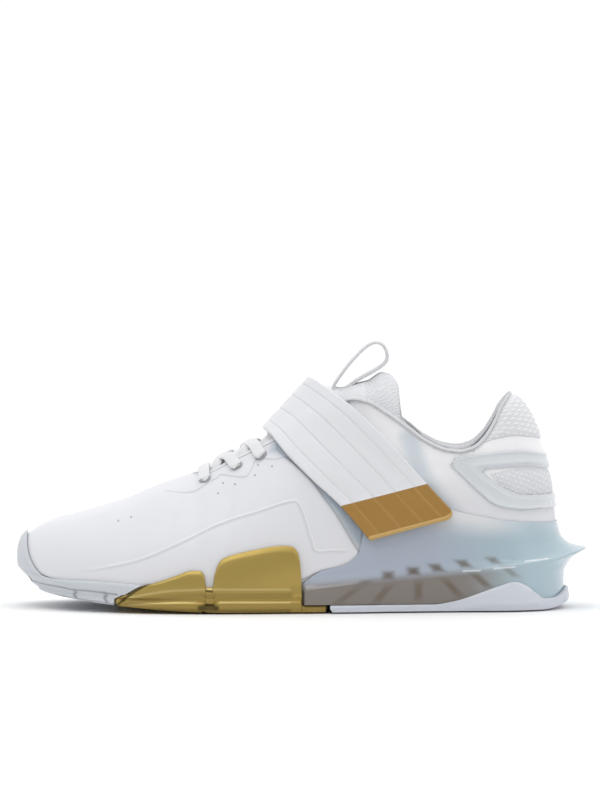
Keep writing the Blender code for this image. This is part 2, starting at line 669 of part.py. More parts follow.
def make_heel(finish):
    """The heel's rubber: a plate that climbs the outside of the clip round the back."""
    parts = (eased(SPLIT_REAR + SPLIT_GAP, 0.757, 3), eased(0.757, 0.912, 6), eased(0.912, 0.962, 3))
    stations = np.concatenate([parts[0], parts[1][1:], parts[2][1:], eased(0.962, 1.0, 5, "end")[1:]])
    lips = (HEEL_WING_LIP, HEEL_WING_LIP)
    return trough("outsole_heel", stations, lips, HEEL_WING_HEIGHT, HEEL_SIDE, beside_clip,
                  HEEL_RUBBER, finish, (True, False))


def clip_heights(u):
    """The clip's foot, ridge and lip above the floor."""
    low = plate_top(u) + SOLE_GAP
    return low, RIDGE_HEIGHT * curve(CLIP_LIP_LINE, "ridge", u), CLIP_HEIGHT * curve(CLIP_LIP_LINE, "lip", u)


def clip_rows(u):
    """Heights and outward reaches of the clip's outside, from its foot to its lip."""
    low, ridge, lip = clip_heights(u)
    fin = FIN_REACH * curve(FIN, "reach", u)
    heights, reaches = [], []
    for rows, start, end in ((CLIP_BELOW, low, ridge), (CLIP_ABOVE, ridge, lip)):
        for share, wall, reach in zip(rows["share"], rows["wall"], rows["fin"]):
            heights.append(start + (end - start) * share)
            reaches.append(beside_upper(u) + CLIP_WALL * wall + fin * reach)
    return np.stack(heights, axis=-1), np.stack(reaches, axis=-1)


def make_clip(finish):
    """The heel clip: a wall up both sides and round the back, with a ridge that ends in a fin."""
    front, rear = eased(CLIP_START, 0.62, 3), eased(0.90, 1.0, 8, "end")
    parts = (front, eased(0.62, 0.67, 4), eased(0.67, 0.90, 6), rear)
    stations = np.concatenate([parts[0]] + [part[1:] for part in parts[1:]])
    z, reach = clip_rows(stations)
    u = np.broadcast_to(stations[:, None], z.shape)
    sheets = []
    for out in (reach, np.broadcast_to(beside_upper(stations)[:, None], z.shape)):
        lateral = sole_wall(u, z, LATERAL, out)
        medial = sole_wall(u, z, MEDIAL, out)
        sheets.append(np.concatenate([lateral, medial[-2::-1]]))
    return slab("heel_clip", sheets[0], sheets[1], finish)


def make_midsole(finish):
    """The wedge between the rubber and the upper, higher under the heel."""
    toe, heel = eased(0, 0.12, 7, "start"), eased(0.90, 1, 6, "end")
    stations = np.concatenate([toe, eased(0.12, 0.90, 18)[1:], heel[1:]])
    sheets = []
    for height in (feather(stations) - 2 * SOLE_GAP, plate_top(stations) + SOLE_GAP):
        out = shell_out(stations) - SOLE_GAP
        edges = [sole_wall(stations, height, side, out) for side in (LATERAL, MEDIAL)]
        sheets.append(np.stack([edges[0], (edges[0] + edges[1]) / 2, edges[1]], axis=1))
        sheets[-1][..., 2] = height[:, None]
    return slab("midsole", sheets[0], sheets[1], finish, (False, False))


def make_insole(finish):
    """The insole, a cushion inside the upper whose rim turns up a little."""
    toe, heel = eased(0, 0.12, 7, "start"), eased(0.90, 1, 6, "end")
    stations = np.concatenate([toe, eased(0.12, 0.90, 10)[1:], heel[1:]])
    inset = WALL + CLEARANCE
    sides = []
    for side in (LATERAL, MEDIAL):
        edge = shoe_wall(stations, np.zeros_like(stations), side, -inset)
        edge[:, 2] = feather(stations) + SOLE_GAP
        sides.append(edge)
    middle = (sides[0] + sides[1]) / 2
    inner_rows = [middle + (edge - middle) * 0.75 for edge in sides]
    rows = [sides[0], inner_rows[0], middle, inner_rows[1], sides[1]]
    low = np.stack(rows, axis=1)
    cup = np.array([0.35, 0.06, 0.0, 0.06, 0.35]) * end_round(stations)[:, None]
    high = low.copy()
    high[..., 2] += INSOLE * (1 + cup)
    return slab("insole", high, low, finish, (False, False))


def tongue_grid(stations, clearance=0.0):
    """The tongue's outer face: tucked under the eyestays, arched between them."""
    top = np.stack([rib(stations, np.ones_like(stations), side) for side in (LATERAL, MEDIAL)]).mean(axis=0)
    lift = TONGUE_PAD * curve(TONGUE_CROWN, "lift", stations) + clearance
    crown = top + np.array([0, 0, 1]) * lift[:, None]
    halves = []
    for side in (LATERAL, MEDIAL):
        rows = []
        is_open = smoothstep(0.320, 0.336, stations)
        top_level = 0.84 + 0.155 * is_open
        for below in (0.19, 0.095, 0.0):
            v = top_level - below
            inset = wall_thickness(stations, v) + CLEARANCE * 3 - clearance
            rows.append(shoe_wall(stations, v, side, -inset))
        foot = rows[-1]
        for share in (0.84, 0.60, 0.30):
            rise = (1 - share**2) ** 0.75
            point = crown + (foot - crown) * share
            point[:, 2] = foot[:, 2] + (crown[:, 2] - foot[:, 2]) * rise
            point[:, 0] = foot[:, 0] + (crown[:, 0] - foot[:, 0]) * rise
            v = 1 - (1 - top_level) * share
            tucked = shoe_wall(stations, v, side, -(WALL + CLEARANCE * 3 - clearance))
            rows.append(tucked + (point - tucked) * is_open[:, None])
        halves.append(rows)
    return np.stack(halves[0] + [crown] + halves[1][::-1], axis=1)


def make_tongue(finish):
    """The padded tongue, from under the vamp to its rounded top inside the collar."""
    stations = np.concatenate([eased(0.270, 0.470, 6), eased(0.470, 0.757, 9)[1:]])
    outer = tongue_grid(stations)
    normals = grid_normals(outer)
    normals *= np.sign(normals[:, 6:7, 2:3])
    normals[:, 1:-1] += normals[:, 2:] + normals[:, :-2]
    normals /= np.linalg.norm(normals, axis=-1, keepdims=True)
    pad = np.array([0.34, 0.62, 0.86, 1, 1, 1, 1, 1, 1, 1, 0.86, 0.62, 0.34]) * TONGUE_PAD
    grow = 0.35 + 0.65 * smoothstep(0.33, 0.48, stations)
    inner = outer - normals * (pad[None, :] * grow[:, None])[..., None]
    return slab("tongue", outer, inner, finish)


def wall_place(x, z, side, out):
    """The station and level where a face this far out of the last has this x and height."""
    u = np.clip((x - TOE_X) / UPPER_LENGTH, 0.01, 0.995)
    v = level_at(u, z, side)
    for _ in range(25):
        point = shoe_wall(u, v, side, out)
        below, above = np.maximum(v - 0.01, 0), np.minimum(v + 0.01, 1)
        climb = shoe_wall(u, above, side, out) - shoe_wall(u, below, side, out)
        rate = climb[..., 2] / (above - below)
        u = np.clip(u + 0.7 * (x - point[..., 0]) / UPPER_LENGTH, 0.01, 0.995)
        v = np.clip(v + 0.7 * (z - point[..., 2]) / np.maximum(rate, 0.01), 0, 1)
    return u, v


def clip_cover(u, z):
    """How far out a part that lies over the clip's thin upper edge has to keep."""
    covers = [shell_out(u)]
    for near in (u - 0.03, u, u + 0.03):
        heights, reaches = clip_rows(near)
        cover = np.array([np.interp(a, h, r) for a, h, r in zip(z, heights, reaches)])
        fade = 1 - smoothstep(0.4 * STRAP_THICKNESS, 2.8 * STRAP_THICKNESS, z - heights[..., -1])
        covers.append((cover + CLEARANCE) * fade * smoothstep(0.56, 0.60, u))
    return np.max(covers, axis=0)


def strap_grid():
    """The strap's outer face, from its outer end over the instep to its inner end."""
    across = np.linspace(0, 1, STRAP_ACROSS + 1)
    rows = []
    for i, side in enumerate(STRAP_PATH["side"]):
        front = (STRAP_PATH["front"][i], STRAP_PATH["front_height"][i], STRAP_PATH["front_half"][i])
        rear = (STRAP_PATH["rear"][i], STRAP_PATH["rear_height"][i], STRAP_PATH["rear_half"][i])
        station, height, half = [a + (b - a) * across for a, b in zip(front, rear)]
        x, z = TOE_X + UPPER_LENGTH * station, STRAP_CREST * height
        if side == 0 or front[2] > 0:
            y = spine(station) + side * half * STRAP_WIDTH
            rows.append(np.stack([x, y, z], axis=-1))
            continue
        out = np.full_like(x, STRAP_THICKNESS + CLEARANCE)
        for _ in range(3):
            u, v = wall_place(x, z, side, out)
            cover = clip_cover(u, rib(u, v, side)[..., 2])
            out = STRAP_THICKNESS + 2 * CLEARANCE + cover
        rows.append(shoe_wall(u, v, side, out))
    return np.stack(rows)


def finer(rows, steps):
    """More rows along a smooth path through the rows given."""
    at = np.arange(len(rows), dtype=float)
    fine = np.linspace(0, len(rows) - 1, (len(rows) - 1) * steps + 1)
    ahead = np.concatenate([rows[1:], rows[-1:]])
    behind = np.concatenate([rows[:1], rows[:-1]])
    slope = (ahead - behind) / 2
    i = np.minimum(fine.astype(int), len(rows) - 2)
    t = (fine - at[i])[:, None, None]
    ends = rows[i] * (1 + 2 * t) * (1 - t) ** 2 + rows[i + 1] * t * t * (3 - 2 * t)
    return ends + slope[i] * t * (1 - t) ** 2 - slope[i + 1] * t * t * (1 - t)


def make_strap(finish, tip_finish):
    """The strap over the instep, and the stiff tip at its outer end."""
    outer = finer(strap_grid(), STRAP_STEPS)
    normals = grid_normals(outer)
    middle = outer.shape[0] // 2
    normals *= np.sign(normals[middle, STRAP_ACROSS // 2, 2])
    inner = outer - normals * STRAP_THICKNESS
    cut = STRAP_STEPS
    tip_outer, tip_inner = outer[: cut + 1].copy(), inner[: cut + 1].copy()
    for grid in (tip_outer, tip_inner):
        back = grid[cut] - grid[cut - 1]
        grid[cut] -= back * SOLE_GAP / np.linalg.norm(back, axis=-1, keepdims=True)
    slab("strap", outer[cut:], inner[cut:], finish)
    slab("strap_tip", tip_outer, tip_inner, tip_finish)


def make_pull_loop(finish):
    """The webbing loop that stands on the tongue's top, for a finger."""
    x = TOE_X + UPPER_LENGTH * LOOP_PATH["station"]
    z = LOOP_TOP * LOOP_PATH["height"]
    along = np.stack([np.roll(x, -1) - np.roll(x, 1), np.roll(z, -1) - np.roll(z, 1)], axis=-1)
    along /= np.linalg.norm(along, axis=-1, keepdims=True)
    sheets = []
    for out in (LOOP_THICKNESS / 2, -LOOP_THICKNESS / 2):
        loop_x = x - along[:, 1] * out
        loop_z = z + along[:, 0] * out
        edges = []
        for side in (LATERAL, MEDIAL):
            y = np.full_like(x, spine(0.62) + side * LOOP_WIDTH / 2)
            edges.append(np.stack([loop_x, y, loop_z], axis=-1))
        sheets.append(np.stack(edges, axis=1))
    return slab("pull_loop", sheets[0], sheets[1], finish, wrap=True)


def counter_edges(rows, side):
    """The outer and inner edges of half of the counter's band, on one side of the heel."""
    edges = []
    at = np.concatenate([eased(0, 0.55, 6), eased(0.55, 1.0, 8, "end")[1:]])
    known = np.linspace(0, 1, len(rows["outer"]))
    for name in ("outer", "inner"):
        u = np.interp(at, known, rows[name])
        z = np.interp(at, known, rows[name + "_height"]) * COUNTER_TOP
        edges.append((u, level_at(u, z, side)))
    return edges


def make_counter(finish):
    """The heel counter: a band round a window, from one side of the heel to the other."""
    sheets = []
    for out in (COUNTER_GAP + COUNTER_THICKNESS, COUNTER_GAP):
        halves = {}
        for side in (LATERAL, MEDIAL):
            for rows, name in ((COUNTER_LOWER, "lower"), (COUNTER_UPPER, "upper")):
                edges = counter_edges(rows, side)
                points = []
                for share in (0.0, 1.0):
                    u = edges[0][0] + (edges[1][0] - edges[0][0]) * share
                    v = edges[0][1] + (edges[1][1] - edges[0][1]) * share
                    extra = out + upper_relief(np.ones_like(u), u, v)
                    points.append(shoe_wall(u, v, side, extra))
                halves[side, name] = np.stack(points, axis=1)
        ring = [
            halves[LATERAL, "lower"], halves[MEDIAL, "lower"][-2::-1],
            halves[MEDIAL, "upper"], halves[LATERAL, "upper"][-2::-1],
        ]
        sheets.append(np.concatenate(ring))
    return slab("heel_counter", sheets[0], sheets[1], finish, wrap=True)


def make_eyelets(finish):
    """Flat rings on the eyestays, a pair for each row of the lacing."""
    turns = np.linspace(0, 2 * np.pi, 10, endpoint=False)
    for side, side_name in ((LATERAL, "outer"), (MEDIAL, "inner")):
        for row, station in enumerate(EYELET_ROWS):
            centre, normal, along = eyelet_frame(station, side)
            across = np.cross(normal, along)
            sheets = []
            for out in (CLEARANCE + EYELET_THICKNESS, CLEARANCE):
                rings = []
                for radius in (EYELET_RADIUS, EYELET_HOLE):
                    circle = np.cos(turns)[:, None] * along + np.sin(turns)[:, None] * across
                    rings.append(centre + circle * radius + normal * out)
                sheets.append(np.stack(rings, axis=1))
            slab(f"eyelet_{side_name}_{row + 1}", sheets[0], sheets[1], finish, wrap=True)


def eyelet_frame(station, side):
    """The centre, normal and direction along the eyestay of one eyelet."""
    at = (np.array([station]), np.array([EYELET_LEVEL]))
    centre = shoe_wall(*at, side, CLEARANCE)[0]
    normal = outward(*at, side)[0]
    ahead = rib(at[0] + 0.01, at[1], side)[0] - rib(at[0] - 0.01, at[1], side)[0]
    ahead -= normal * np.dot(ahead, normal)
    return centre, normal, ahead / np.linalg.norm(ahead)


def lace_path(start, end, lift):
    """The centre line of a lace from an eyelet on one side over the tongue to one on the other."""
    (u0, side0), (u1, side1) = start, end
    points = []
    for t in np.linspace(0, 1, 7):
        u = np.array([u0 + (u1 - u0) * t])
        side = side0 if t < 0.5 else side1
        w = abs(2 * t - 1)
        crown = tongue_grid(u, CLEARANCE + LACE_THICKNESS * 0.55 + lift)[0]
        eyelet, normal, _ = eyelet_frame(u[0], side)
        end_point = eyelet + normal * (CLEARANCE * 4 + EYELET_THICKNESS + LACE_THICKNESS / 2)
        rim = shoe_wall(u, np.ones(1), side, 0.0)[0]
        rim[2] += RIM_RISE + CLEARANCE * 2 + LACE_THICKNESS / 2
        middle = crown[6]
        if w > 0.7:
            points.append(rim + (end_point - rim) * (w - 0.7) / 0.3)
        else:
            share = w / 0.7
            point = middle + (rim - middle) * share
            point[2] = rim[2] + (max(middle[2], rim[2] + 2 * CLEARANCE) - rim[2]) * (1 - share**2) ** 0.8
            points.append(point)
    return np.array(points)


def tube(name, path, finish):
    """A flat lace swept along a path, with closed ends."""
    along = np.gradient(path, axis=0)
    along /= np.linalg.norm(along, axis=-1, keepdims=True)
    up = np.array([-0.45, 0.0, 0.9]) + np.zeros_like(path)
    up[:, 1] += (path[:, 1] - spine(0.41)) * 2.2 / BALL_WIDTH
    up -= along * np.sum(up * along, axis=-1, keepdims=True)
    up /= np.linalg.norm(up, axis=-1, keepdims=True)
    across = np.cross(along, up)
    turns = np.linspace(0, 2 * np.pi, 6, endpoint=False)
    ring = [across * np.cos(a) * LACE_WIDTH / 2 + up * np.sin(a) * LACE_THICKNESS / 2 for a in turns]
    grid = path[:, None] + np.stack(ring, axis=1)
    columns, rows = grid.shape[:2]
    faces = []
    for i in range(columns - 1):
        for k in range(rows):
            n = (k + 1) % rows
            faces.append((i * rows + k, i * rows + n, (i + 1) * rows + n, (i + 1) * rows + k))
    faces.append(tuple(range(rows))[::-1])
    faces.append(tuple((columns - 1) * rows + k for k in range(rows)))
    return solid(name, grid.reshape(-1, 3), faces, finish)


def make_lace(finish):
    """The lacing over the tongue: two laces that cross twice and a bar in front, joined as one."""
    one, two, three = EYELET_ROWS
    spans = (
        ((one, LATERAL), (one + 0.001, MEDIAL)), ((one + 0.012, LATERAL), (two, MEDIAL)),
        ((one + 0.012, MEDIAL), (two, LATERAL)), ((two + 0.010, LATERAL), (three, MEDIAL)),
        ((two + 0.010, MEDIAL), (three, LATERAL)),
    )
    lifts = (0.0, 1.5 * CLEARANCE, 0.0, 0.0, 1.5 * CLEARANCE)
    paths = [lace_path(*span, lift) for span, lift in zip(spans, lifts)]
    pieces = [tube(f"lace {i}", path, finish) for i, path in enumerate(paths)]
    return joined("lace", pieces)


def joined(name, pieces):
    """One solid from several that cross each other."""
    whole = pieces[0]
    for piece in pieces[1:]:
        union = whole.modifiers.new("union", "BOOLEAN")
        union.operation = "UNION"
        union.solver = "EXACT"
        union.object = piece
        bpy.context.view_layer.update()
        ready = whole.evaluated_get(bpy.context.evaluated_depsgraph_get())
        mesh = bpy.data.meshes.new_from_object(ready)
        whole.modifiers.clear()
        whole.data = mesh
        bpy.data.objects.remove(piece, do_unlink=True)
    shape = bmesh.new()
    shape.from_mesh(whole.data)
    bmesh.ops.remove_doubles(shape, verts=shape.verts, dist=WELD)
    bmesh.ops.triangulate(shape, faces=shape.faces)
    shape.to_mesh(whole.data)
    shape.free()
    whole.name = name
    whole.data.name = name
    return whole


def main():
    """Removes what the scene holds and makes every piece."""
    for old in list(bpy.data.objects):
        bpy.data.objects.remove(old, do_unlink=True)
    white = material("white upper", (0.83, 0.83, 0.85), 0.55)
    make_upper(white)
    make_forefoot(material("pale rubber", (0.60, 0.64, 0.69), 0.50))
    make_midfoot(material("gold rubber", (0.46, 0.32, 0.08), 0.38, 0.55))
    make_heel(material("heel rubber", (0.62, 0.64, 0.72), 0.40))
    make_clip(material("blue plastic", (0.52, 0.66, 0.74), 0.25))
    make_midsole(material("midsole foam", (0.62, 0.62, 0.68), 0.60))
    make_insole(material("insole cloth", (0.70, 0.70, 0.72), 0.90))
    make_tongue(material("white mesh", (0.80, 0.80, 0.82), 0.85))
    strap_cloth = material("white strap", (0.85, 0.85, 0.87), 0.45)
    make_strap(strap_cloth, material("gold tip", (0.40, 0.22, 0.06), 0.42, 0.35))
    make_pull_loop(material("white webbing", (0.84, 0.84, 0.86), 0.60))
    make_counter(material("white film", (0.82, 0.84, 0.86), 0.30))
    make_eyelets(material("grey ring", (0.45, 0.46, 0.48), 0.35))
    make_lace(material("white lace", (0.86, 0.86, 0.88), 0.80))


main()
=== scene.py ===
"""The looks of a left weightlifting shoe, laid over its fixed frame of plain solids.

The toe points along -X and the heel along +X, and the outer side of the foot faces -Y. A station
runs from 0 at the toe to 1 at the heel, and a level runs up a rib from 0 at the feather edge to 1
at the top line. Every surface is a function of two such parameters, worked out as whole arrays.
"""

import logging
import math
from dataclasses import dataclass, field
from enum import Enum

import bpy
import numpy as np
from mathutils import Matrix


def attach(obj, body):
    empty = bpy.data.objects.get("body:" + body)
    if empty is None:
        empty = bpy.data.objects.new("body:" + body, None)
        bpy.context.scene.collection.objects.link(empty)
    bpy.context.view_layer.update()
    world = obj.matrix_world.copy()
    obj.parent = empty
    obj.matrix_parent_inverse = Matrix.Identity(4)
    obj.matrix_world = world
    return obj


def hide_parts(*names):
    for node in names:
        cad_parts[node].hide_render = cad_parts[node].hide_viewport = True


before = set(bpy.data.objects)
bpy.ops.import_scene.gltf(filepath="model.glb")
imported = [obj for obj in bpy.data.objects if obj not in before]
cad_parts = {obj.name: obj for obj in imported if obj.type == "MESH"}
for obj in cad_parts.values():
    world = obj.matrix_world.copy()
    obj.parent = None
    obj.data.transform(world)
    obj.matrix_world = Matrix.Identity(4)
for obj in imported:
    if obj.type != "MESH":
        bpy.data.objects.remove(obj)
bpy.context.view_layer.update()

logging.basicConfig(level=logging.INFO, format="%(message)s")
log = logging.getLogger("shoe")

Array = np.ndarray
Colour = tuple[float, float, float]
Material = bpy.types.Material
MM = 0.001


class Side(Enum):
    """The two sides of the shoe, with the sign of Y on each."""

    LATERAL = -1
    MEDIAL = 1


class Dense(Enum):
    """Where a run of stations is closest together."""

    EVEN = "even"
    START = "start"
    END = "end"
    BOTH = "both"


def table(names: str, *rows: tuple) -> dict[str, Array]:
    """Named columns, as arrays, from their names with spaces between and one tuple for each row."""
    return {name: np.array([row[i] for row in rows], float) for i, name in enumerate(names.split())}


def smoothstep(low: float, high: float, x: Array) -> Array:
    """A ramp from 0 at low to 1 at high: t * t * (3 - 2t)."""
    t = np.clip((np.asarray(x, float) - low) / (high - low), 0, 1)
    return t * t * (3 - 2 * t)


def hill(x: Array, centre: float, half: float) -> Array:
    """A smooth hump: 1 at the centre and 0 from half a width away."""
    t = np.clip(1 - np.abs(np.asarray(x, float) - centre) / half, 0, 1)
    return t * t * (3 - 2 * t)


def run(start: float, end: float, count: int, dense: Dense = Dense.EVEN) -> Array:
    """Values from start to end in count steps, by a quarter or half cosine where they crowd."""
    t = np.linspace(0, 1, count + 1)
    if dense is Dense.START:
        t = 1 - np.cos(t * np.pi / 2)
    if dense is Dense.END:
        t = np.sin(t * np.pi / 2)
    if dense is Dense.BOTH:
        t = (1 - np.cos(t * np.pi)) / 2
    return start + (end - start) * t


def chain(*parts: Array) -> Array:
    """Joins runs of values that share their end values."""
    return np.concatenate([parts[0]] + [part[1:] for part in parts[1:]])


def curve(columns: dict[str, Array], name: str, x: Array) -> Array:
    """A cubic through a column over the table's first one, level at peaks, so it never overshoots."""
    at, value = columns[next(iter(columns))], columns[name]
    slope = np.diff(value) / np.diff(at)
    tangent = np.zeros_like(value)
    rising = slope[1:] * slope[:-1] > 0
    both = slope[1:] * slope[:-1]
    tangent[1:-1][rising] = (2 * both / np.where(rising, slope[1:] + slope[:-1], 1))[rising]
    tangent[0], tangent[-1] = slope[0], slope[-1]
    x = np.clip(np.asarray(x, float), at[0], at[-1])
    i = np.clip(np.searchsorted(at, x, side="right") - 1, 0, len(slope) - 1)
    step = at[i + 1] - at[i]
    t = (x - at[i]) / step
    ends = value[i] * (1 + 2 * t) * (1 - t) ** 2 + value[i + 1] * t * t * (3 - 2 * t)
    return ends + step * (tangent[i] * t * (1 - t) ** 2 - tangent[i + 1] * t * t * (1 - t))


def resample(rows: Array, at: Array) -> Array:
    """Rows at fractional row numbers, by a cubic whose slopes are central differences."""
    ahead = np.concatenate([rows[1:], rows[-1:]])
    behind = np.concatenate([rows[:1], rows[:-1]])
    slope = (ahead - behind) / 2
    i = np.clip(at.astype(int), 0, len(rows) - 2)
    t = (at - i).reshape((-1,) + (1,) * (rows.ndim - 1))
    ends = rows[i] * (1 + 2 * t) * (1 - t) ** 2 + rows[i + 1] * t * t * (3 - 2 * t)
    return ends + slope[i] * t * (1 - t) ** 2 - slope[i + 1] * t * t * (1 - t)


def unit(vectors: Array) -> Array:
    """The vectors at length 1."""
    return vectors / np.maximum(np.linalg.norm(vectors, axis=-1, keepdims=True), 1e-12)


def grid_normals(grid: Array) -> Array:
    """Unit normals of a grid of points: the cross product of the differences each way."""
    return unit(np.cross(np.gradient(grid, axis=0), np.gradient(grid, axis=1)))


def bezier(rails: list[Array], t: Array) -> Array:
    """A cubic Bezier curve over four control points, or over four heights."""
    a, b, c, d = rails
    return a * (1 - t) ** 3 + 3 * b * t * (1 - t) ** 2 + 3 * c * t * t * (1 - t) + d * t**3


def carried(path: Array, up: Array) -> tuple[Array, Array]:
    """The directions across and up at each point of a path, square to the path."""
    along = unit(np.gradient(path, axis=0))
    across = unit(np.cross(along, up))
    return across, np.cross(across, along)


def along_rows(grid: Array, axis: int) -> Array:
    """The distance from the first point of each line of a grid, added up along an axis."""
    steps = np.linalg.norm(np.diff(grid, axis=axis), axis=-1)
    pad = [(0, 0), (0, 0)]
    pad[axis] = (1, 0)
    return np.pad(np.cumsum(steps, axis=axis), pad)


class Outline:
    """A line drawn on the shoe's side, in millimetres of X and Z, made smooth."""

    def __init__(self, *points: tuple[float, float], closed: bool = False, steps: int = 6) -> None:
        """Draws the line through its points, with each stretch cut into this many short pieces."""
        rows = np.array(points + (points[:1] if closed else ()), float)
        self.line = resample(rows, np.linspace(0, len(rows) - 1, (len(rows) - 1) * steps + 1))

    def distance(self, place: Array) -> Array:
        """The distance in millimetres from each place to the line, over all its short pieces."""
        x, z = place[..., 0] / MM, place[..., 2] / MM
        nearest = np.full(x.shape, 1e9)
        for (x0, z0), (x1, z1) in zip(self.line[:-1], self.line[1:]):
            dx, dz = x1 - x0, z1 - z0
            t = np.clip(((x - x0) * dx + (z - z0) * dz) / max(dx * dx + dz * dz, 1e-9), 0, 1)
            nearest = np.minimum(nearest, np.hypot(x - x0 - t * dx, z - z0 - t * dz))
        return nearest

    def inside(self, place: Array) -> Array:
        """The distance to a closed line, positive inside, by counting crossings of a level ray."""
        x, z = place[..., 0] / MM, place[..., 2] / MM
        crossed = np.zeros(x.shape, bool)
        for (x0, z0), (x1, z1) in zip(self.line[:-1], self.line[1:]):
            spans = (z0 > z) != (z1 > z)
            where = x0 + (z - z0) * (x1 - x0) / (z1 - z0 if z1 != z0 else 1e-9)
            crossed ^= spans & (x < where)
        return np.where(crossed, 1, -1) * self.distance(place)


@dataclass(frozen=True)
class LastSizes:
    """The driving sizes of the last and of what lies round it, in metres, and its stations."""

    length: float = 0.2873
    ball_width: float = 0.1000
    heel_width: float = 0.0680
    toe_offset: float = 0.0090
    instep_height: float = 0.0865
    heel_height: float = 0.0880
    toe_lean: float = 0.0054
    toe_bulge: float = 0.0007
    heel_lean: float = 0.0259
    toe_spring: float = 0.0100
    heel_bevel: float = 0.0035
    forefoot_stack: float = 0.0066
    toe_stack: float = 0.0115
    heel_drop: float = 0.0204
    plate: float = 0.0035
    wall: float = 0.0022
    collar_pad: float = 0.0052
    shell_step: float = 0.0009
    clearance: float = 0.0004
    rubber_wall: float = 0.0028
    clip_wall: float = 0.0036
    sole_gap: float = 0.0003
    heel_rubber: float = 0.0022
    fin_reach: float = 0.0118
    y_shift: float = 0.00045
    toe_round: float = 0.200
    heel_round: float = 0.130
    flat_start: float = 0.378
    heel_flat_end: float = 0.955
    toe_corner: float = 0.160
    toe_corner_inset: float = 0.0102
    toe_corner_rise: float = 0.0115
    toe_fill: float = 0.0062
    throat_start: float = 0.321


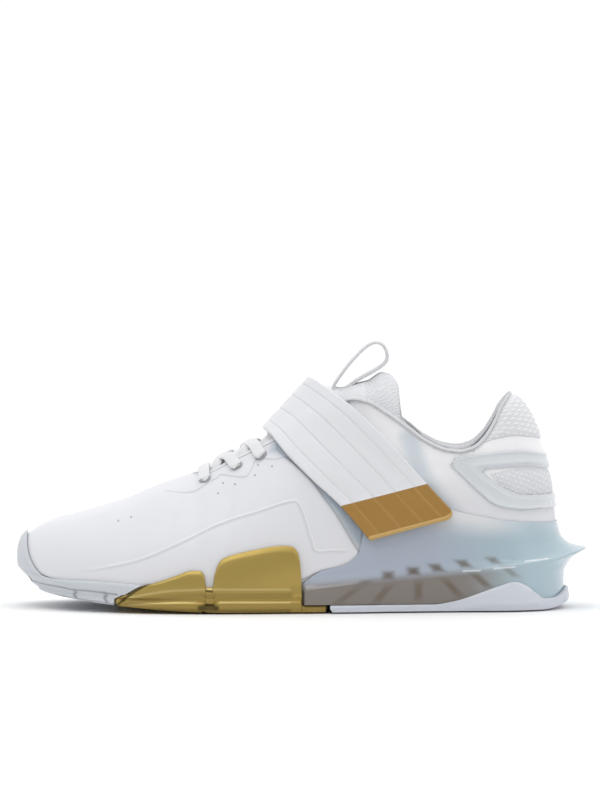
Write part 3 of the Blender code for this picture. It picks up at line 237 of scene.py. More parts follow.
class Last:
    """The form that the shoe is built on, as ribs from the feather edge to the top line."""

    SECTIONS = table(
        "station foot_lateral foot_medial wall wall_rise shoulder shoulder_rise top_width top",
        (0.000, 0.400, 0.385, 1.03, 0.33, 0.62, 0.85, 0.000, 0.474),
        (0.020, 0.408, 0.390, 1.03, 0.36, 0.62, 0.93, 0.000, 0.506),
        (0.050, 0.420, 0.396, 1.03, 0.40, 0.61, 0.98, 0.000, 0.543),
        (0.100, 0.434, 0.405, 1.04, 0.44, 0.60, 1.00, 0.000, 0.582),
        (0.200, 0.493, 0.432, 1.05, 0.46, 0.57, 1.00, 0.000, 0.673),
        (0.250, 0.520, 0.450, 1.05, 0.47, 0.55, 1.00, 0.000, 0.737),
        (0.321, 0.535, 0.464, 1.05, 0.47, 0.55, 0.99, 0.000, 0.808),
        (0.360, 0.534, 0.462, 1.05, 0.47, 0.56, 0.94, 0.135, 0.830),
        (0.420, 0.520, 0.442, 1.05, 0.46, 0.58, 0.91, 0.142, 0.922),
        (0.500, 0.509, 0.410, 1.06, 0.44, 0.62, 0.90, 0.152, 1.040),
        (0.580, 0.512, 0.396, 1.06, 0.42, 0.66, 0.88, 0.175, 1.167),
        (0.640, 0.516, 0.404, 1.06, 0.40, 0.71, 0.86, 0.225, 1.259),
        (0.670, 0.518, 0.412, 1.06, 0.38, 0.76, 0.84, 0.270, 1.289),
        (0.700, 0.520, 0.425, 1.06, 0.37, 0.81, 0.82, 0.325, 1.274),
        (0.740, 0.522, 0.445, 1.06, 0.36, 0.87, 0.79, 0.380, 1.203),
        (0.780, 0.520, 0.465, 1.06, 0.35, 0.92, 0.76, 0.425, 1.116),
        (0.820, 0.515, 0.480, 1.06, 0.34, 0.97, 0.73, 0.455, 1.025),
        (0.860, 0.508, 0.490, 1.07, 0.34, 1.00, 0.71, 0.470, 0.968),
        (0.890, 0.504, 0.494, 1.07, 0.34, 1.00, 0.71, 0.472, 0.955),
        (0.920, 0.500, 0.496, 1.07, 0.34, 1.00, 0.74, 0.462, 0.977),
        (0.945, 0.498, 0.496, 1.06, 0.35, 0.99, 0.79, 0.445, 1.040),
        (0.965, 0.497, 0.496, 1.05, 0.36, 0.98, 0.85, 0.425, 1.131),
        (0.980, 0.496, 0.496, 1.05, 0.37, 0.97, 0.90, 0.408, 1.222),
        (1.000, 0.495, 0.495, 1.05, 0.38, 0.95, 0.95, 0.385, 1.301),
    )

    def __init__(self, sizes: LastSizes) -> None:
        """Places the toe and the heel so that the whole shoe's middle is at the origin."""
        self.sizes = sizes
        toe = sizes.toe_bulge + sizes.shell_step + sizes.clearance + sizes.rubber_wall
        heel = sizes.clearance + sizes.clip_wall + sizes.fin_reach
        self.toe_x = -(toe + sizes.length + heel) / 2 + toe
        self.heel_x = self.toe_x + sizes.length

    def station(self, x: Array) -> Array:
        """The station at a place along X, for a point on the feather edge."""
        return (np.asarray(x, float) - self.toe_x) / self.sizes.length

    def ground(self, u: Array) -> Array:
        """The underside's height: toe spring, flat, and a small bevel at the heel."""
        s, u = self.sizes, np.asarray(u, float)
        spring = np.clip((s.flat_start - u) / s.flat_start, 0, 1)
        bevel = np.clip((u - s.heel_flat_end) / (1 - s.heel_flat_end), 0, 1)
        return s.toe_spring * spring**1.8 + s.heel_bevel * bevel**2

    def toe_share(self, u: Array) -> Array:
        """1 at the tip of the toe, falling as a square to 0 where the round toe ends."""
        return np.clip(1 - np.asarray(u, float) / self.sizes.toe_corner, 0, 1) ** 2

    def feather(self, u: Array) -> Array:
        """The feather edge's height: the ground, the stack, the round toe and the wedge."""
        s = self.sizes
        toe = (s.toe_stack - s.forefoot_stack) * self.toe_share(u)
        wedge = s.heel_drop * smoothstep(0.31, 0.80, u)
        return self.ground(np.minimum(u, s.heel_flat_end)) + s.forefoot_stack + toe + wedge

    def plate_top(self, u: Array) -> Array:
        """The top of the rubber under the foot, thicker behind the rounded toe."""
        return self.ground(u) + self.sizes.plate + self.sizes.toe_fill * self.toe_share(u)

    def end_round(self, u: Array) -> Array:
        """The share of the width left near the two round ends: two superellipses, multiplied."""
        u = np.asarray(u, float)
        toe = np.clip(1 - u / self.sizes.toe_round, 0, 1)
        heel = np.clip(1 - (1 - u) / self.sizes.heel_round, 0, 1)
        return (1 - toe**2.3) ** (1 / 2.3) * (1 - heel**2.2) ** (1 / 2.2)

    def spine(self, u: Array) -> Array:
        """The line down the middle, which bends as a square towards the big toe."""
        return self.sizes.toe_offset * (1 - np.asarray(u, float)) ** 2 - self.sizes.y_shift

    def rails(self, u: Array, side: Side) -> list[Array]:
        """The four control points of the ribs: feather, wall, shoulder and top."""
        s, u = self.sizes, np.asarray(u, float)
        width = s.ball_width + (s.heel_width - s.ball_width) * smoothstep(0.40, 0.85, u)
        height = s.instep_height + (s.heel_height - s.instep_height) * smoothstep(0.70, 0.90, u)
        rounded = self.end_round(u)
        foot = curve(self.SECTIONS, f"foot_{side.name.lower()}", u) * width
        low = self.feather(u)
        rise = curve(self.SECTIONS, "top", u) * height - low
        wall, shoulder = curve(self.SECTIONS, "wall", u), curve(self.SECTIONS, "shoulder", u)
        half = (foot, foot * wall, foot * shoulder, curve(self.SECTIONS, "top_width", u) * width)
        wall_up = curve(self.SECTIONS, "wall_rise", u)
        up = (0.0, wall_up, curve(self.SECTIONS, "shoulder_rise", u), 1.0)
        front = (0.0, -0.30 * s.toe_lean, 0.0, s.toe_lean)
        back = (0.0, 0.02 * s.heel_lean, -0.375 * s.heel_lean, -s.heel_lean)
        points = []
        for i in range(4):
            x = (self.toe_x + front[i]) * (1 - u) + (self.heel_x + back[i]) * u
            y = self.spine(u) + side.value * half[i] * rounded
            points.append(np.stack([x, y, low + up[i] * rise], axis=-1))
        return points

    def rib(self, u: Array, v: Array, side: Side) -> Array:
        """A point of the last: a cubic Bezier curve over the four control points of its rib."""
        u, v = np.broadcast_arrays(u, v)
        return bezier(self.rails(u, side), v[..., None])

    def outward(self, u: Array, v: Array, side: Side) -> Array:
        """The unit normal out of the shoe: the cross product of two small differences."""
        u, v = np.broadcast_arrays(u, v)
        h = 1e-5
        ahead, behind = np.minimum(u + h, 1), np.maximum(u - h, 0)
        along = self.rib(ahead, v, side) - self.rib(behind, v, side)
        up = self.rib(u, np.minimum(v + h, 1), side) - self.rib(u, np.maximum(v - h, 0), side)
        n = np.cross(along, up) * -side.value
        closed = (v >= 1) & (u <= self.sizes.throat_start)
        n[..., 1] = np.where(closed | (u <= 0) | (u >= 1), 0, n[..., 1])
        return unit(n)

    def wall(self, u: Array, v: Array, side: Side, out: Array) -> Array:
        """A point this far out of the last: the rib's point plus the normal times the distance."""
        return self.rib(u, v, side) + self.outward(u, v, side) * np.asarray(out, float)[..., None]

    def level_at(self, u: Array, z: Array, side: Side) -> Array:
        """The level at which each rib reaches a height, found by halving the range 20 times."""
        u, z = np.broadcast_arrays(u, z)
        heights = [rail[..., 2] for rail in self.rails(u, side)]
        low, high = np.zeros(u.shape), np.ones(u.shape)
        for _ in range(20):
            t = (low + high) / 2
            at = bezier(heights, t)
            high = np.where(at > z, t, high)
            low = np.where(at > z, low, t)
        return (low + high) / 2

    def sole_wall(self, u: Array, z: Array, side: Side, out: Array) -> Array:
        """A point at a height on the sole's side: out along the last's normal above the feather
        edge, and straight out sideways below it."""
        u, z, out = np.broadcast_arrays(u, z, out)
        low = self.feather(u)
        point = self.wall(u, self.level_at(u, np.maximum(z, low), side), side, out)
        flat = self.outward(u, np.zeros_like(u), side)
        flat[..., 2] = 0
        below = self.rib(u, np.zeros_like(u), side) + unit(flat) * out[..., None]
        point[..., :2] = np.where((z < low)[..., None], below[..., :2], point[..., :2])
        point[..., 2] = np.where(z < low, z, point[..., 2])
        return point

    def wall_place(self, x: Array, z: Array, side: Side, out: Array) -> tuple[Array, Array]:
        """The station and level where a face this far out has this x and height.

        Args:
            x: Places along the shoe.
            z: Heights.
            side: The side of the shoe.
            out: Distances out of the last.

        Returns:
            Stations and levels, moved towards the answer by 0.7 of the error, 25 times.
        """
        u = np.clip(self.station(x), 0.01, 0.995)
        v = self.level_at(u, z, side)
        for _ in range(25):
            point = self.wall(u, v, side, out)
            below, above = np.maximum(v - 0.01, 0), np.minimum(v + 0.01, 1)
            climb = self.wall(u, above, side, out) - self.wall(u, below, side, out)
            rate = climb[..., 2] / (above - below)
            u = np.clip(u + 0.7 * (x - point[..., 0]) / self.sizes.length, 0.01, 0.995)
            v = np.clip(v + 0.7 * (z - point[..., 2]) / np.maximum(rate, 0.01), 0, 1)
        return u, v

    def shell_out(self, u: Array) -> Array:
        """How far out the parts beside the upper keep, to clear the forefoot shell's step."""
        return self.sizes.shell_step * (1 - smoothstep(0.640, 0.680, u))

    def wall_thickness(self, u: Array, v: Array) -> Array:
        """The upper's wall, which is padded along the collar."""
        pad = smoothstep(0.55, 0.95, v) * smoothstep(0.690, 0.790, u)
        return self.sizes.wall + self.sizes.collar_pad * pad


@dataclass(frozen=True)
class Stroke:
    """A line drawn on a side, with its half width and soft edge in millimetres and its strength."""

    line: Outline
    half: float
    soft: float
    strength: float
    both: bool = True


@dataclass
class Surface:
    """A closed mesh in the making: points, faces, a place on the piece's own map, and masks."""

    points: Array
    faces: Array
    uv: Array | None = None
    masks: dict[str, Array] = field(default_factory=dict)
    slots: Array | None = None

    def build(self, name: str, materials: list[Material], sharp: float = 0.0) -> bpy.types.Object:
        """Welds points that coincide, drops faces that vanish and makes the object.

        Args:
            name: The piece's name.
            materials: Its finishes, in the order of the slots.
            sharp: The angle from which an edge is sharp, or 0 for none.

        Returns:
            The object, with its faces outwards.
        """
        keys = np.round(self.points / 1e-7).astype(np.int64)
        _, first, where = np.unique(keys, axis=0, return_index=True, return_inverse=True)
        where = where.reshape(-1)
        corners = where[self.faces]
        same = corners == np.roll(corners, -1, axis=1)
        crossed = (corners[:, 0] == corners[:, 2]) | (corners[:, 1] == corners[:, 3])
        count = same.sum(axis=1)
        quads = np.flatnonzero((count == 0) & ~crossed)
        triangles = np.flatnonzero(count == 1)
        keep = np.stack([np.delete(np.arange(4), i) for i in range(4)])
        kept = keep[np.argmax(same[triangles], axis=1)] if len(triangles) else np.zeros((0, 3), int)
        cut = np.take_along_axis(self.faces[triangles], kept, axis=1)
        points = self.points[first]
        loops = [self.faces[quads], cut]
        a, b, c, d = (points[where[loops[0][:, i]]] for i in range(4))
        volume = np.sum(a * np.cross(b, c)) + np.sum(a * np.cross(c, d))
        if len(cut):
            p, q, r = (points[where[cut[:, i]]] for i in range(3))
            volume += np.sum(p * np.cross(q, r))
        if volume < 0:
            loops = [loop[:, ::-1] for loop in loops]
        mesh = bpy.data.meshes.new(name)
        mesh.from_pydata(points.tolist(), [], [row for loop in loops for row in where[loop].tolist()])
        flat = np.concatenate([loop.reshape(-1) for loop in loops])
        if self.uv is not None:
            layer = mesh.uv_layers.new(name="map")
            layer.data.foreach_set("uv", self.uv[flat].astype(np.float32).ravel())
        for mask, values in self.masks.items():
            made = mesh.attributes.new(mask, "FLOAT", "POINT")
            made.data.foreach_set("value", values[first].astype(np.float32))
        if self.slots is not None:
            order = np.concatenate([quads, triangles])
            mesh.polygons.foreach_set("material_index", self.slots[order].astype(np.int32))
        mesh.shade_smooth()
        if sharp:
            mesh.set_sharp_from_angle(angle=sharp)
        for material in materials:
            mesh.materials.append(material)
        made_object = bpy.data.objects.new(name, mesh)
        bpy.context.scene.collection.objects.link(made_object)
        return made_object


def grid_faces(columns: int, rows: int, wrap_columns: bool, wrap_rows: bool) -> Array:
    """Four point numbers for each quad over a grid, column by column, closed the ways that wrap."""
    i = np.arange(columns if wrap_columns else columns - 1)[:, None]
    k = np.arange(rows if wrap_rows else rows - 1)[None, :]
    j, n = (i + 1) % columns, (k + 1) % rows
    return np.stack([i * rows + k, j * rows + k, j * rows + n, i * rows + n], axis=-1).reshape(-1, 4)


@dataclass
class Slab:
    """A sheet with thickness between an outer and an inner grid of points.

    The thickness falls as the square root of 1 - (1 - d / r)^2 within the radius r of an edge, at
    a distance d from it, so that a radius rounds the edge and 0 leaves it square.
    """

    outer: Array
    inner: Array
    round_rows: tuple[float, float] = (0.0, 0.0)
    round_columns: tuple[float, float] = (0.0, 0.0)
    wrap: bool = False

    def thinning(self) -> Array:
        """The share of the thickness that is left at each point of the grid."""
        middle = (self.outer + self.inner) / 2
        share = np.ones(middle.shape[:2])
        for axis, radii in ((1, self.round_rows), (0, self.round_columns)):
            far = along_rows(middle, axis)
            total = np.take(far, [-1], axis=axis)
            for distance, radius in ((far, radii[0]), (total - far, radii[1])):
                if radius:
                    t = np.clip(distance / radius, 0, 1)
                    share *= np.sqrt(np.clip(1 - (1 - t) ** 2, 0, 1))
        return share

    def surface(self, uv: Array | None = None, masks: dict[str, Array] | None = None) -> Surface:
        """Stitches both grids into one closed surface.

        Args:
            uv: A place on the map for each point of the grid, in metres. The distances along the
                grid's columns and rows where it is left out.
            masks: A value for each point of the grid, under each mask's name.

        Returns:
            The surface. Its slot is 0 on the outer grid and 1 on the inner one.
        """
        middle, half = (self.outer + self.inner) / 2, (self.outer - self.inner) / 2
        half = half * self.thinning()[..., None]
        columns, rows = middle.shape[:2]
        points = np.concatenate([middle + half, (middle - half)[:, ::-1]], axis=1)
        if uv is None:
            uv = np.stack([along_rows(middle, 0), along_rows(middle, 1)], axis=-1)
        faces = grid_faces(columns, 2 * rows, self.wrap, True)
        slots = np.tile(np.arange(2 * rows) >= rows, len(faces) // (2 * rows)).astype(int)
        if not self.wrap:
            k = np.arange(rows - 1)
            cap = np.stack([k, k + 1, 2 * rows - 2 - k, 2 * rows - 1 - k], axis=-1)
            caps = np.concatenate([cap[:, ::-1], cap + (columns - 1) * 2 * rows])
            faces = np.concatenate([faces, caps])
            slots = np.concatenate([slots, np.zeros(len(caps), int)])
        both = {name: np.concatenate([m, m[:, ::-1]], axis=1).ravel() for name, m in (masks or {}).items()}
        uv = np.concatenate([uv, uv[:, ::-1]], axis=1).reshape(-1, 2)
        return Surface(points.reshape(-1, 3), faces, uv, both, slots)


class Socket:
    """A node's output that can be used in sums with numbers and with other outputs."""

    def __init__(self, paint: "Paint", socket: bpy.types.NodeSocket) -> None:
        """Keeps the output and the material that it belongs to."""
        self.paint, self.socket = paint, socket

    def __add__(self, other: "Socket | float") -> "Socket":
        """The sum."""
        return self.paint.math("ADD", self, other)

    __radd__ = __add__

    def __sub__(self, other: "Socket | float") -> "Socket":
        """The difference."""
        return self.paint.math("SUBTRACT", self, other)

    def __rsub__(self, other: float) -> "Socket":
        """The difference, with the number first."""
        return self.paint.math("SUBTRACT", other, self)

    def __mul__(self, other: "Socket | float") -> "Socket":
        """The product."""
        return self.paint.math("MULTIPLY", self, other)

    __rmul__ = __mul__


class Paint:
    """A material under way, or the world, whose nodes all come from one method."""

    def __init__(self, name: str, world: bool = False) -> None:
        """Starts an empty material, or the empty world."""
        self.data = (bpy.data.worlds if world else bpy.data.materials).new(name)
        self.data.use_nodes = True
        self.tree = self.data.node_tree
        self.tree.nodes.clear()

    def node(self, kind: str, settings: dict | None = None, **values: object) -> bpy.types.Node:
        """Makes one node.

        Args:
            kind: The node's type.
            settings: Its own settings, set first.
            values: A value or an output for each input, named with _ for a space, or i0, i1 for
                an input by its number.

        Returns:
            The node.
        """
        made = self.tree.nodes.new(kind)
        for name, value in (settings or {}).items():
            setattr(made, name, value)
        for name, value in values.items():
            numbered = name[0] == "i" and name[1:].isdigit()
            entry = made.inputs[int(name[1:])] if numbered else made.inputs[name.replace("_", " ")]
            if isinstance(value, Socket):
                self.tree.links.new(value.socket, entry)
            else:
                entry.default_value = value
        return made

    def output(self, made: bpy.types.Node, name: str | int = 0) -> Socket:
        """One output of a node, ready for sums."""
        return Socket(self, made.outputs[name])

    def math(self, operation: str, *values: "Socket | float") -> Socket:
        """A Math node on numbers and outputs."""
        inputs = {f"i{i}": value for i, value in enumerate(values)}
        return self.output(self.node("ShaderNodeMath", {"operation": operation}, **inputs))

    def vector(self, operation: str, place: Socket, other: Colour = (0.0, 0.0, 0.0), out: int = 0) -> Socket:
        """A Vector Math node on a place and a fixed vector: its vector, or its value where out is 1."""
        made = self.node("ShaderNodeVectorMath", {"operation": operation}, i0=place, i1=other)
        return self.output(made, out)

    def ramp(self, value: Socket, low: float, high: float, start: float = 0.0, end: float = 1.0) -> Socket:
        """A smooth ramp from start, where the value is low, to end, where it is high."""
        settings = {"interpolation_type": "SMOOTHSTEP"}
        made = self.node("ShaderNodeMapRange", settings, i0=value, i1=low, i2=high, i3=start, i4=end)
        return self.output(made)

    def mix(self, factor: "Socket | float", first: "Socket | Colour", second: "Socket | Colour") -> Socket:
        """A blend of two colours."""
        ends = [value if isinstance(value, Socket) else (*value, 1.0) for value in (first, second)]
        settings = {"data_type": "RGBA", "clamp_factor": True}
        return self.output(self.node("ShaderNodeMix", settings, i0=factor, i6=ends[0], i7=ends[1]), 2)

    def object_place(self) -> Socket:
        """The place on the piece, in metres."""
        return self.output(self.node("ShaderNodeTexCoord"), "Object")

    def map_place(self) -> Socket:
        """The place on the piece's own map, in metres."""
        return self.output(self.node("ShaderNodeUVMap", {"uv_map": "map"}))

    def turned(self, place: Socket, turn: float) -> Socket:
        """A place, turned about Z."""
        return self.output(self.node("ShaderNodeMapping", i0=place, i2=(0.0, 0.0, turn)))

    def parts(self, place: Socket) -> list[Socket]:
        """The X, Y and Z of a place."""
        made = self.node("ShaderNodeSeparateXYZ", i0=place)
        return [self.output(made, i) for i in range(3)]

    def mask(self, name: str) -> Socket:
        """A value that the piece's mesh carries."""
        return self.output(self.node("ShaderNodeAttribute", {"attribute_name": name}), "Fac")

    def noise(self, place: Socket, scale: float, detail: float = 2.0) -> Socket:
        """Cloudy noise from 0 to 1, with this many features in a metre."""
        return self.output(self.node("ShaderNodeTexNoise", Vector=place, Scale=scale, Detail=detail), "Fac")

    def cells(self, place: Socket, scale: float) -> Socket:
        """The distance to the nearest of scattered points, with this many in a metre."""
        return self.output(self.node("ShaderNodeTexVoronoi", Vector=place, Scale=scale), "Distance")

    def wave(self, place: Socket, along: int, pitch: float) -> Socket:
        """A sine from 0 to 1 along one direction of a place, with this pitch in metres."""
        angle = self.parts(place)[along] * (2 * math.pi / pitch)
        return self.math("SINE", angle) * 0.5 + 0.5

    def line(self, distance: Socket, half: float, soft: float) -> Socket:
        """1 within half a width of a line, falling to 0 over a soft edge."""
        return self.ramp(self.math("ABSOLUTE", distance), half, half + soft, 1.0, 0.0)

    def dots(self, place: Socket, points: tuple[tuple[float, float], ...], radius: float) -> Socket:
        """1 within a radius of any of these points of X and Z, in millimetres, on both sides."""
        flat = self.vector("MULTIPLY", place, (1.0, 0.0, 1.0))
        away = [self.vector("DISTANCE", flat, (x * MM, 0.0, z * MM), 1) for x, z in points]
        nearest = away[0]
        for other in away[1:]:
            nearest = self.math("MINIMUM", nearest, other)
        return self.ramp(nearest, radius, 1.5 * radius, 1.0, 0.0)

    def bump(self, height: Socket, depth: float, below: Socket | None = None) -> Socket:
        """A normal bumped by heights of which 1 stands for this depth, over the normal below it."""
        inputs = {"Height": height, "Distance": depth, "Strength": 1.0}
        if below is not None:
            inputs["Normal"] = below
        return self.output(self.node("ShaderNodeBump", **inputs))

    def done(self, **values: object) -> Material:
        """Ends the material with a Principled shader that has these values or links."""
        for name, value in values.items():
            if isinstance(value, tuple) and len(value) == 3:
                values[name] = (*value, 1.0)
        shader = self.node("ShaderNodeBsdfPrincipled", **values)
        self.node("ShaderNodeOutputMaterial", Surface=self.output(shader))
        return self.data


@dataclass(frozen=True)
class UpperFinish:
    """White coated textile with a smooth welded forefoot, knit at the heel, soft blue painted shade and
    painted highlights.
    """

    white: Colour = (0.79, 0.795, 0.83)
    # pale: painted light, a paler rear top of the upper where light falls on it
    pale: Colour = (0.97, 0.97, 0.985)
    # shade: blue-grey behind the shell's rear edge, partly the strap's painted shadow and partly the blue of
    # the translucent clip
    shade: Colour = (0.36, 0.44, 0.52)
    # Painted blue shade and reflection along the strap's rear edge.
    strap_shade: Colour = (0.58, 0.66, 0.72)
    # seam: dark seams, edges and holes, also used for the painted shadows of the emboss valley and the throat
    seam: Colour = (0.30, 0.31, 0.33)
    holes: tuple[tuple[float, float], ...] = (
        (-41.7, 67.4), (-35.3, 66.9), (-44.4, 62.1), (-23.0, 77.0), (-15.5, 76.5), (-24.6, 71.7),
        (-97.9, 47.1), (-91.0, 49.2),
    )

    def build(self) -> Material:
        """Makes the material.

        Returns:
            A material that reads the masks shell, panel, welt, throat, eyestay, pad, pale, shade
            and tint.
        """
        paint = Paint("white coated textile")
        place, flat = paint.object_place(), paint.map_place()
        shell, pad = paint.mask("shell"), paint.mask("pad")
        in_shell = paint.ramp(shell, -0.3, 0.3)
        knit = paint.ramp(pad, -0.2, 0.4)
        edge = paint.line(shell, 0.16, 0.30)
        panel, welt = paint.mask("panel"), paint.mask("welt")
        # The emboss ridge is a real bump whose paler colour is a painted highlight; beside it a shallow real
        # dip carries a painted shadow.
        ridge = paint.line(panel, 0.15, 0.95) * welt
        valley_and_shadow = paint.line(panel - 1.5, 0.1, 1.1) * welt
        # A painted shadow: a dark line a little below the rim along the throat.
        throat = paint.line(paint.mask("throat") - 4.2, 0.3, 0.7)
        dots = paint.dots(place, self.holes, 0.45 * MM)
        rim = paint.line(pad, 0.05, 0.35) * paint.ramp(paint.parts(place)[2], 0.080, 0.083)
        stay = paint.line(paint.mask("eyestay"), 0.12, 0.32)
        cloud = paint.noise(place, 60.0, 3.0)
        colour = paint.mix(cloud * 0.25, self.white, tuple(0.92 * part for part in self.white))
        # Painted light: the upper is made paler towards the rear and the top.
        colour = paint.mix(paint.mask("pale"), colour, self.pale)
        # Blue-grey behind the shell: partly the strap's painted shadow, partly the clip's blue.
        colour = paint.mix(paint.mask("shade"), colour, self.shade)
        # Painted blue shade and reflection beside the strap's rear edge.
        colour = paint.mix(paint.mask("strap_shade"), colour, self.strap_shade)
        rows = paint.turned(flat, math.radians(38))
        loops = paint.wave(rows, 0, 1.9 * MM) * paint.wave(rows, 1, 2.6 * MM)
        colour = paint.mix(knit * (1.0 - loops) * 0.45, colour, (0.52, 0.54, 0.58))
        colour = paint.mix(edge * 0.55 + stay * 0.30, colour, self.seam)
        # Painted highlight along the emboss ridge.
        colour = paint.mix(ridge * 0.4, colour, (0.93, 0.93, 0.95))
        # Dark pad rim and holes, with the painted shadows of the emboss valley and the throat.
        colour = paint.mix(valley_and_shadow * 0.12 + rim * 0.45 + throat * 0.7 + dots * 0.7, colour, self.seam)
        fine = paint.wave(flat, 0, 0.9 * MM) * paint.wave(flat, 1, 0.9 * MM)
        grain = paint.cells(place, 1500.0)
        cloth = (1.0 - in_shell) * (1.0 - knit)
        normal = paint.bump(fine * cloth, 0.05 * MM)
        normal = paint.bump(grain * in_shell, 0.02 * MM, normal)
        normal = paint.bump(loops * knit, 0.35 * MM, normal)
        normal = paint.bump(ridge - valley_and_shadow * 0.4, 0.35 * MM, normal)
        rough = 0.42 + cloth * 0.16 + knit * 0.25 + cloud * 0.06
        return paint.done(Base_Color=colour, Roughness=rough, Normal=normal, Coat_Weight=in_shell * 0.12)


@dataclass(frozen=True)
class ClothFinish:
    """Woven or knitted cloth with threads each way."""

    name: str = "cloth"
    colour: Colour = (0.80, 0.80, 0.82)
    dark: Colour = (0.55, 0.56, 0.59)
    pitch: float = 1.1 * MM
    turn: float = 0.0
    depth: float = 0.18 * MM
    roughness: float = 0.85
    sheen: float = 0.15

    def build(self) -> Material:
        """Makes the material: two sines multiplied give the threads' crossings."""
        paint = Paint(self.name)
        flat = paint.turned(paint.map_place(), self.turn)
        threads = paint.wave(flat, 0, self.pitch) * paint.wave(flat, 1, self.pitch)
        cloud = paint.noise(paint.object_place(), 120.0, 3.0)
        colour = paint.mix((1.0 - threads) * 0.5, self.colour, self.dark)
        colour = paint.mix(cloud * 0.15, colour, self.dark)
        fuzz = paint.noise(paint.object_place(), 3500.0, 2.0)
        normal = paint.bump(threads, self.depth, paint.bump(fuzz, 0.04 * MM))
        return paint.done(Base_Color=colour, Roughness=self.roughness, Normal=normal, Sheen_Weight=self.sheen)


@dataclass(frozen=True)
class RubberFinish:
    """Moulded rubber, plain or filled with metal flake, with a fine matt grain and scuffs, and with painted
    shade and painted highlights.
    """

    name: str = "rubber"
    colour: Colour = (0.60, 0.62, 0.66)
    # low: the colour near the ground, a darker painted shade on the gold and heel rubber and barely different
    # on the pale toe
    low: Colour = (0.50, 0.52, 0.56)
    roughness: float = 0.48
    metallic: float = 0.0
    coat: float = 0.0
    # groove: dark seams, with painted shade in grooves and cuts, in the gold's concave band and along its
    # bottom edge
    groove: Colour = (0.12, 0.12, 0.14)
    # edge: the colour of painted highlights along ledges, ridges and the heel rubber's top edge
    edge: Colour = (0.84, 0.85, 0.88)

    def build(self) -> Material:
        """Makes the material, which reads the masks low, under, groove and edge: low is painted shade near
        the ground, edge painted highlights, and groove dark seams with painted shade in grooves.
        """
        paint = Paint(self.name)
        place = paint.object_place()
        cloud = paint.noise(place, 90.0, 4.0)
        grain = paint.cells(place, 2400.0)
        # Painted shade: the colour turns to the low one near the ground.
        colour = paint.mix(paint.mask("low"), self.colour, self.low)
        colour = paint.mix(cloud * 0.22, colour, tuple(0.86 * part for part in self.colour))
        # Dark seams, with painted shade in the grooves and cuts, in the gold's concave band and along its
        # bottom edge.
        groove = paint.mask("groove")
        # Painted highlights along the drawn edge lines.
        colour = paint.mix(paint.mask("edge"), colour, self.edge)
        colour = paint.mix(groove, colour, self.groove)
        tread = paint.wave(paint.turned(place, math.radians(45)), 0, 4.0 * MM)
        under = paint.mask("under")
        normal = paint.bump(grain, 0.03 * MM)
        normal = paint.bump(tread * under, 0.6 * MM, normal)
        normal = paint.bump(1.0 - groove, 0.5 * MM, normal)
        rough = self.roughness + cloud * 0.14
        return paint.done(
            Base_Color=colour, Roughness=rough, Metallic=self.metallic, Normal=normal, Coat_Weight=self.coat
        )


@dataclass(frozen=True)
class ClipFinish:
    """Milky moulded plastic, ice blue at the heel and lavender ahead, over soft golden pillars."""

    blue: Colour = (0.42, 0.545, 0.61)
    lavender: Colour = (0.42, 0.47, 0.56)
    white: Colour = (0.78, 0.79, 0.81)
    tan: Colour = (0.145, 0.094, 0.042)
    pillar: Colour = (0.095, 0.058, 0.014)

    def build(self) -> Material:
        """Makes the material, which reads the masks heel, lip, low, pillar and glint."""
        paint = Paint("milky blue plastic")
        place = paint.object_place()
        cloud = paint.noise(place, 50.0, 3.0)
        colour = paint.mix(paint.mask("heel"), self.lavender, self.blue)
        colour = paint.mix(paint.mask("lip"), colour, self.white)
        colour = paint.mix(paint.mask("low"), colour, self.tan)
        colour = paint.mix(paint.mask("pillar"), colour, self.pillar)
        colour = paint.mix(paint.mask("glint"), colour, (0.95, 0.96, 0.98))
        colour = paint.mix(cloud * 0.05, colour, (0.60, 0.64, 0.70))
        normal = paint.bump(paint.noise(place, 1200.0, 2.0), 0.01 * MM)
        return paint.done(
            Base_Color=colour, Roughness=0.24 + cloud * 0.03, Normal=normal, Coat_Weight=0.55,
            Coat_Roughness=0.12,
        )


@dataclass(frozen=True)
class FilmFinish:
    """A thin welded film or stiff tab, with fine lines along it."""

    name: str = "film"
    colour: Colour = (0.73, 0.76, 0.79)
    rim: Colour = (0.46, 0.49, 0.54)
    roughness: float = 0.24
    metallic: float = 0.0
    coat: float = 0.4

    def build(self) -> Material:
        """Makes the material, which shows its rim colour along the mask called rim."""
        paint = Paint(self.name)
        place = paint.object_place()
        cloud = paint.noise(place, 140.0, 3.0)
        colour = paint.mix(cloud * 0.2, self.colour, tuple(0.85 * part for part in self.colour))
        colour = paint.mix(paint.mask("rim"), colour, self.rim)
        normal = paint.bump(paint.cells(place, 1800.0), 0.02 * MM)
        return paint.done(
            Base_Color=colour,
            Roughness=self.roughness + cloud * 0.1,
            Metallic=self.metallic,
            Normal=normal,
            Coat_Weight=self.coat,
        )


class Piece:
    """What every sub-assembly shares: the last, and how a finished piece joins the shoe."""

    def __init__(self, last: Last) -> None:
        """Keeps the last that the piece is built on."""
        self.last = last
        self.sizes = last.sizes

    def place(self, made: bpy.types.Object, nodes: tuple[str, ...] = (), slot: str = "") -> bpy.types.Object:
        """Fixes a finished piece to the shoe, hides the parts for these nodes, and reports it."""
        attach(made, "root")
        if nodes:
            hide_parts(*nodes)
        log.info("%s: %d faces", made.name, len(made.data.polygons))
        return made


@dataclass(frozen=True)
class UpperSizes:
    """The counts of the upper's grid and the heights of what is worked into it."""

    toe_columns: int = 120
    outer_levels: int = 84
    rim_rows: int = 8
    inner_levels: int = 16
    rim_rise: float = 0.0012
    stay_step: float = 0.0005
    pad_rise: float = 0.0012
    window_rise: float = 0.0007
    crease: float = 0.00030


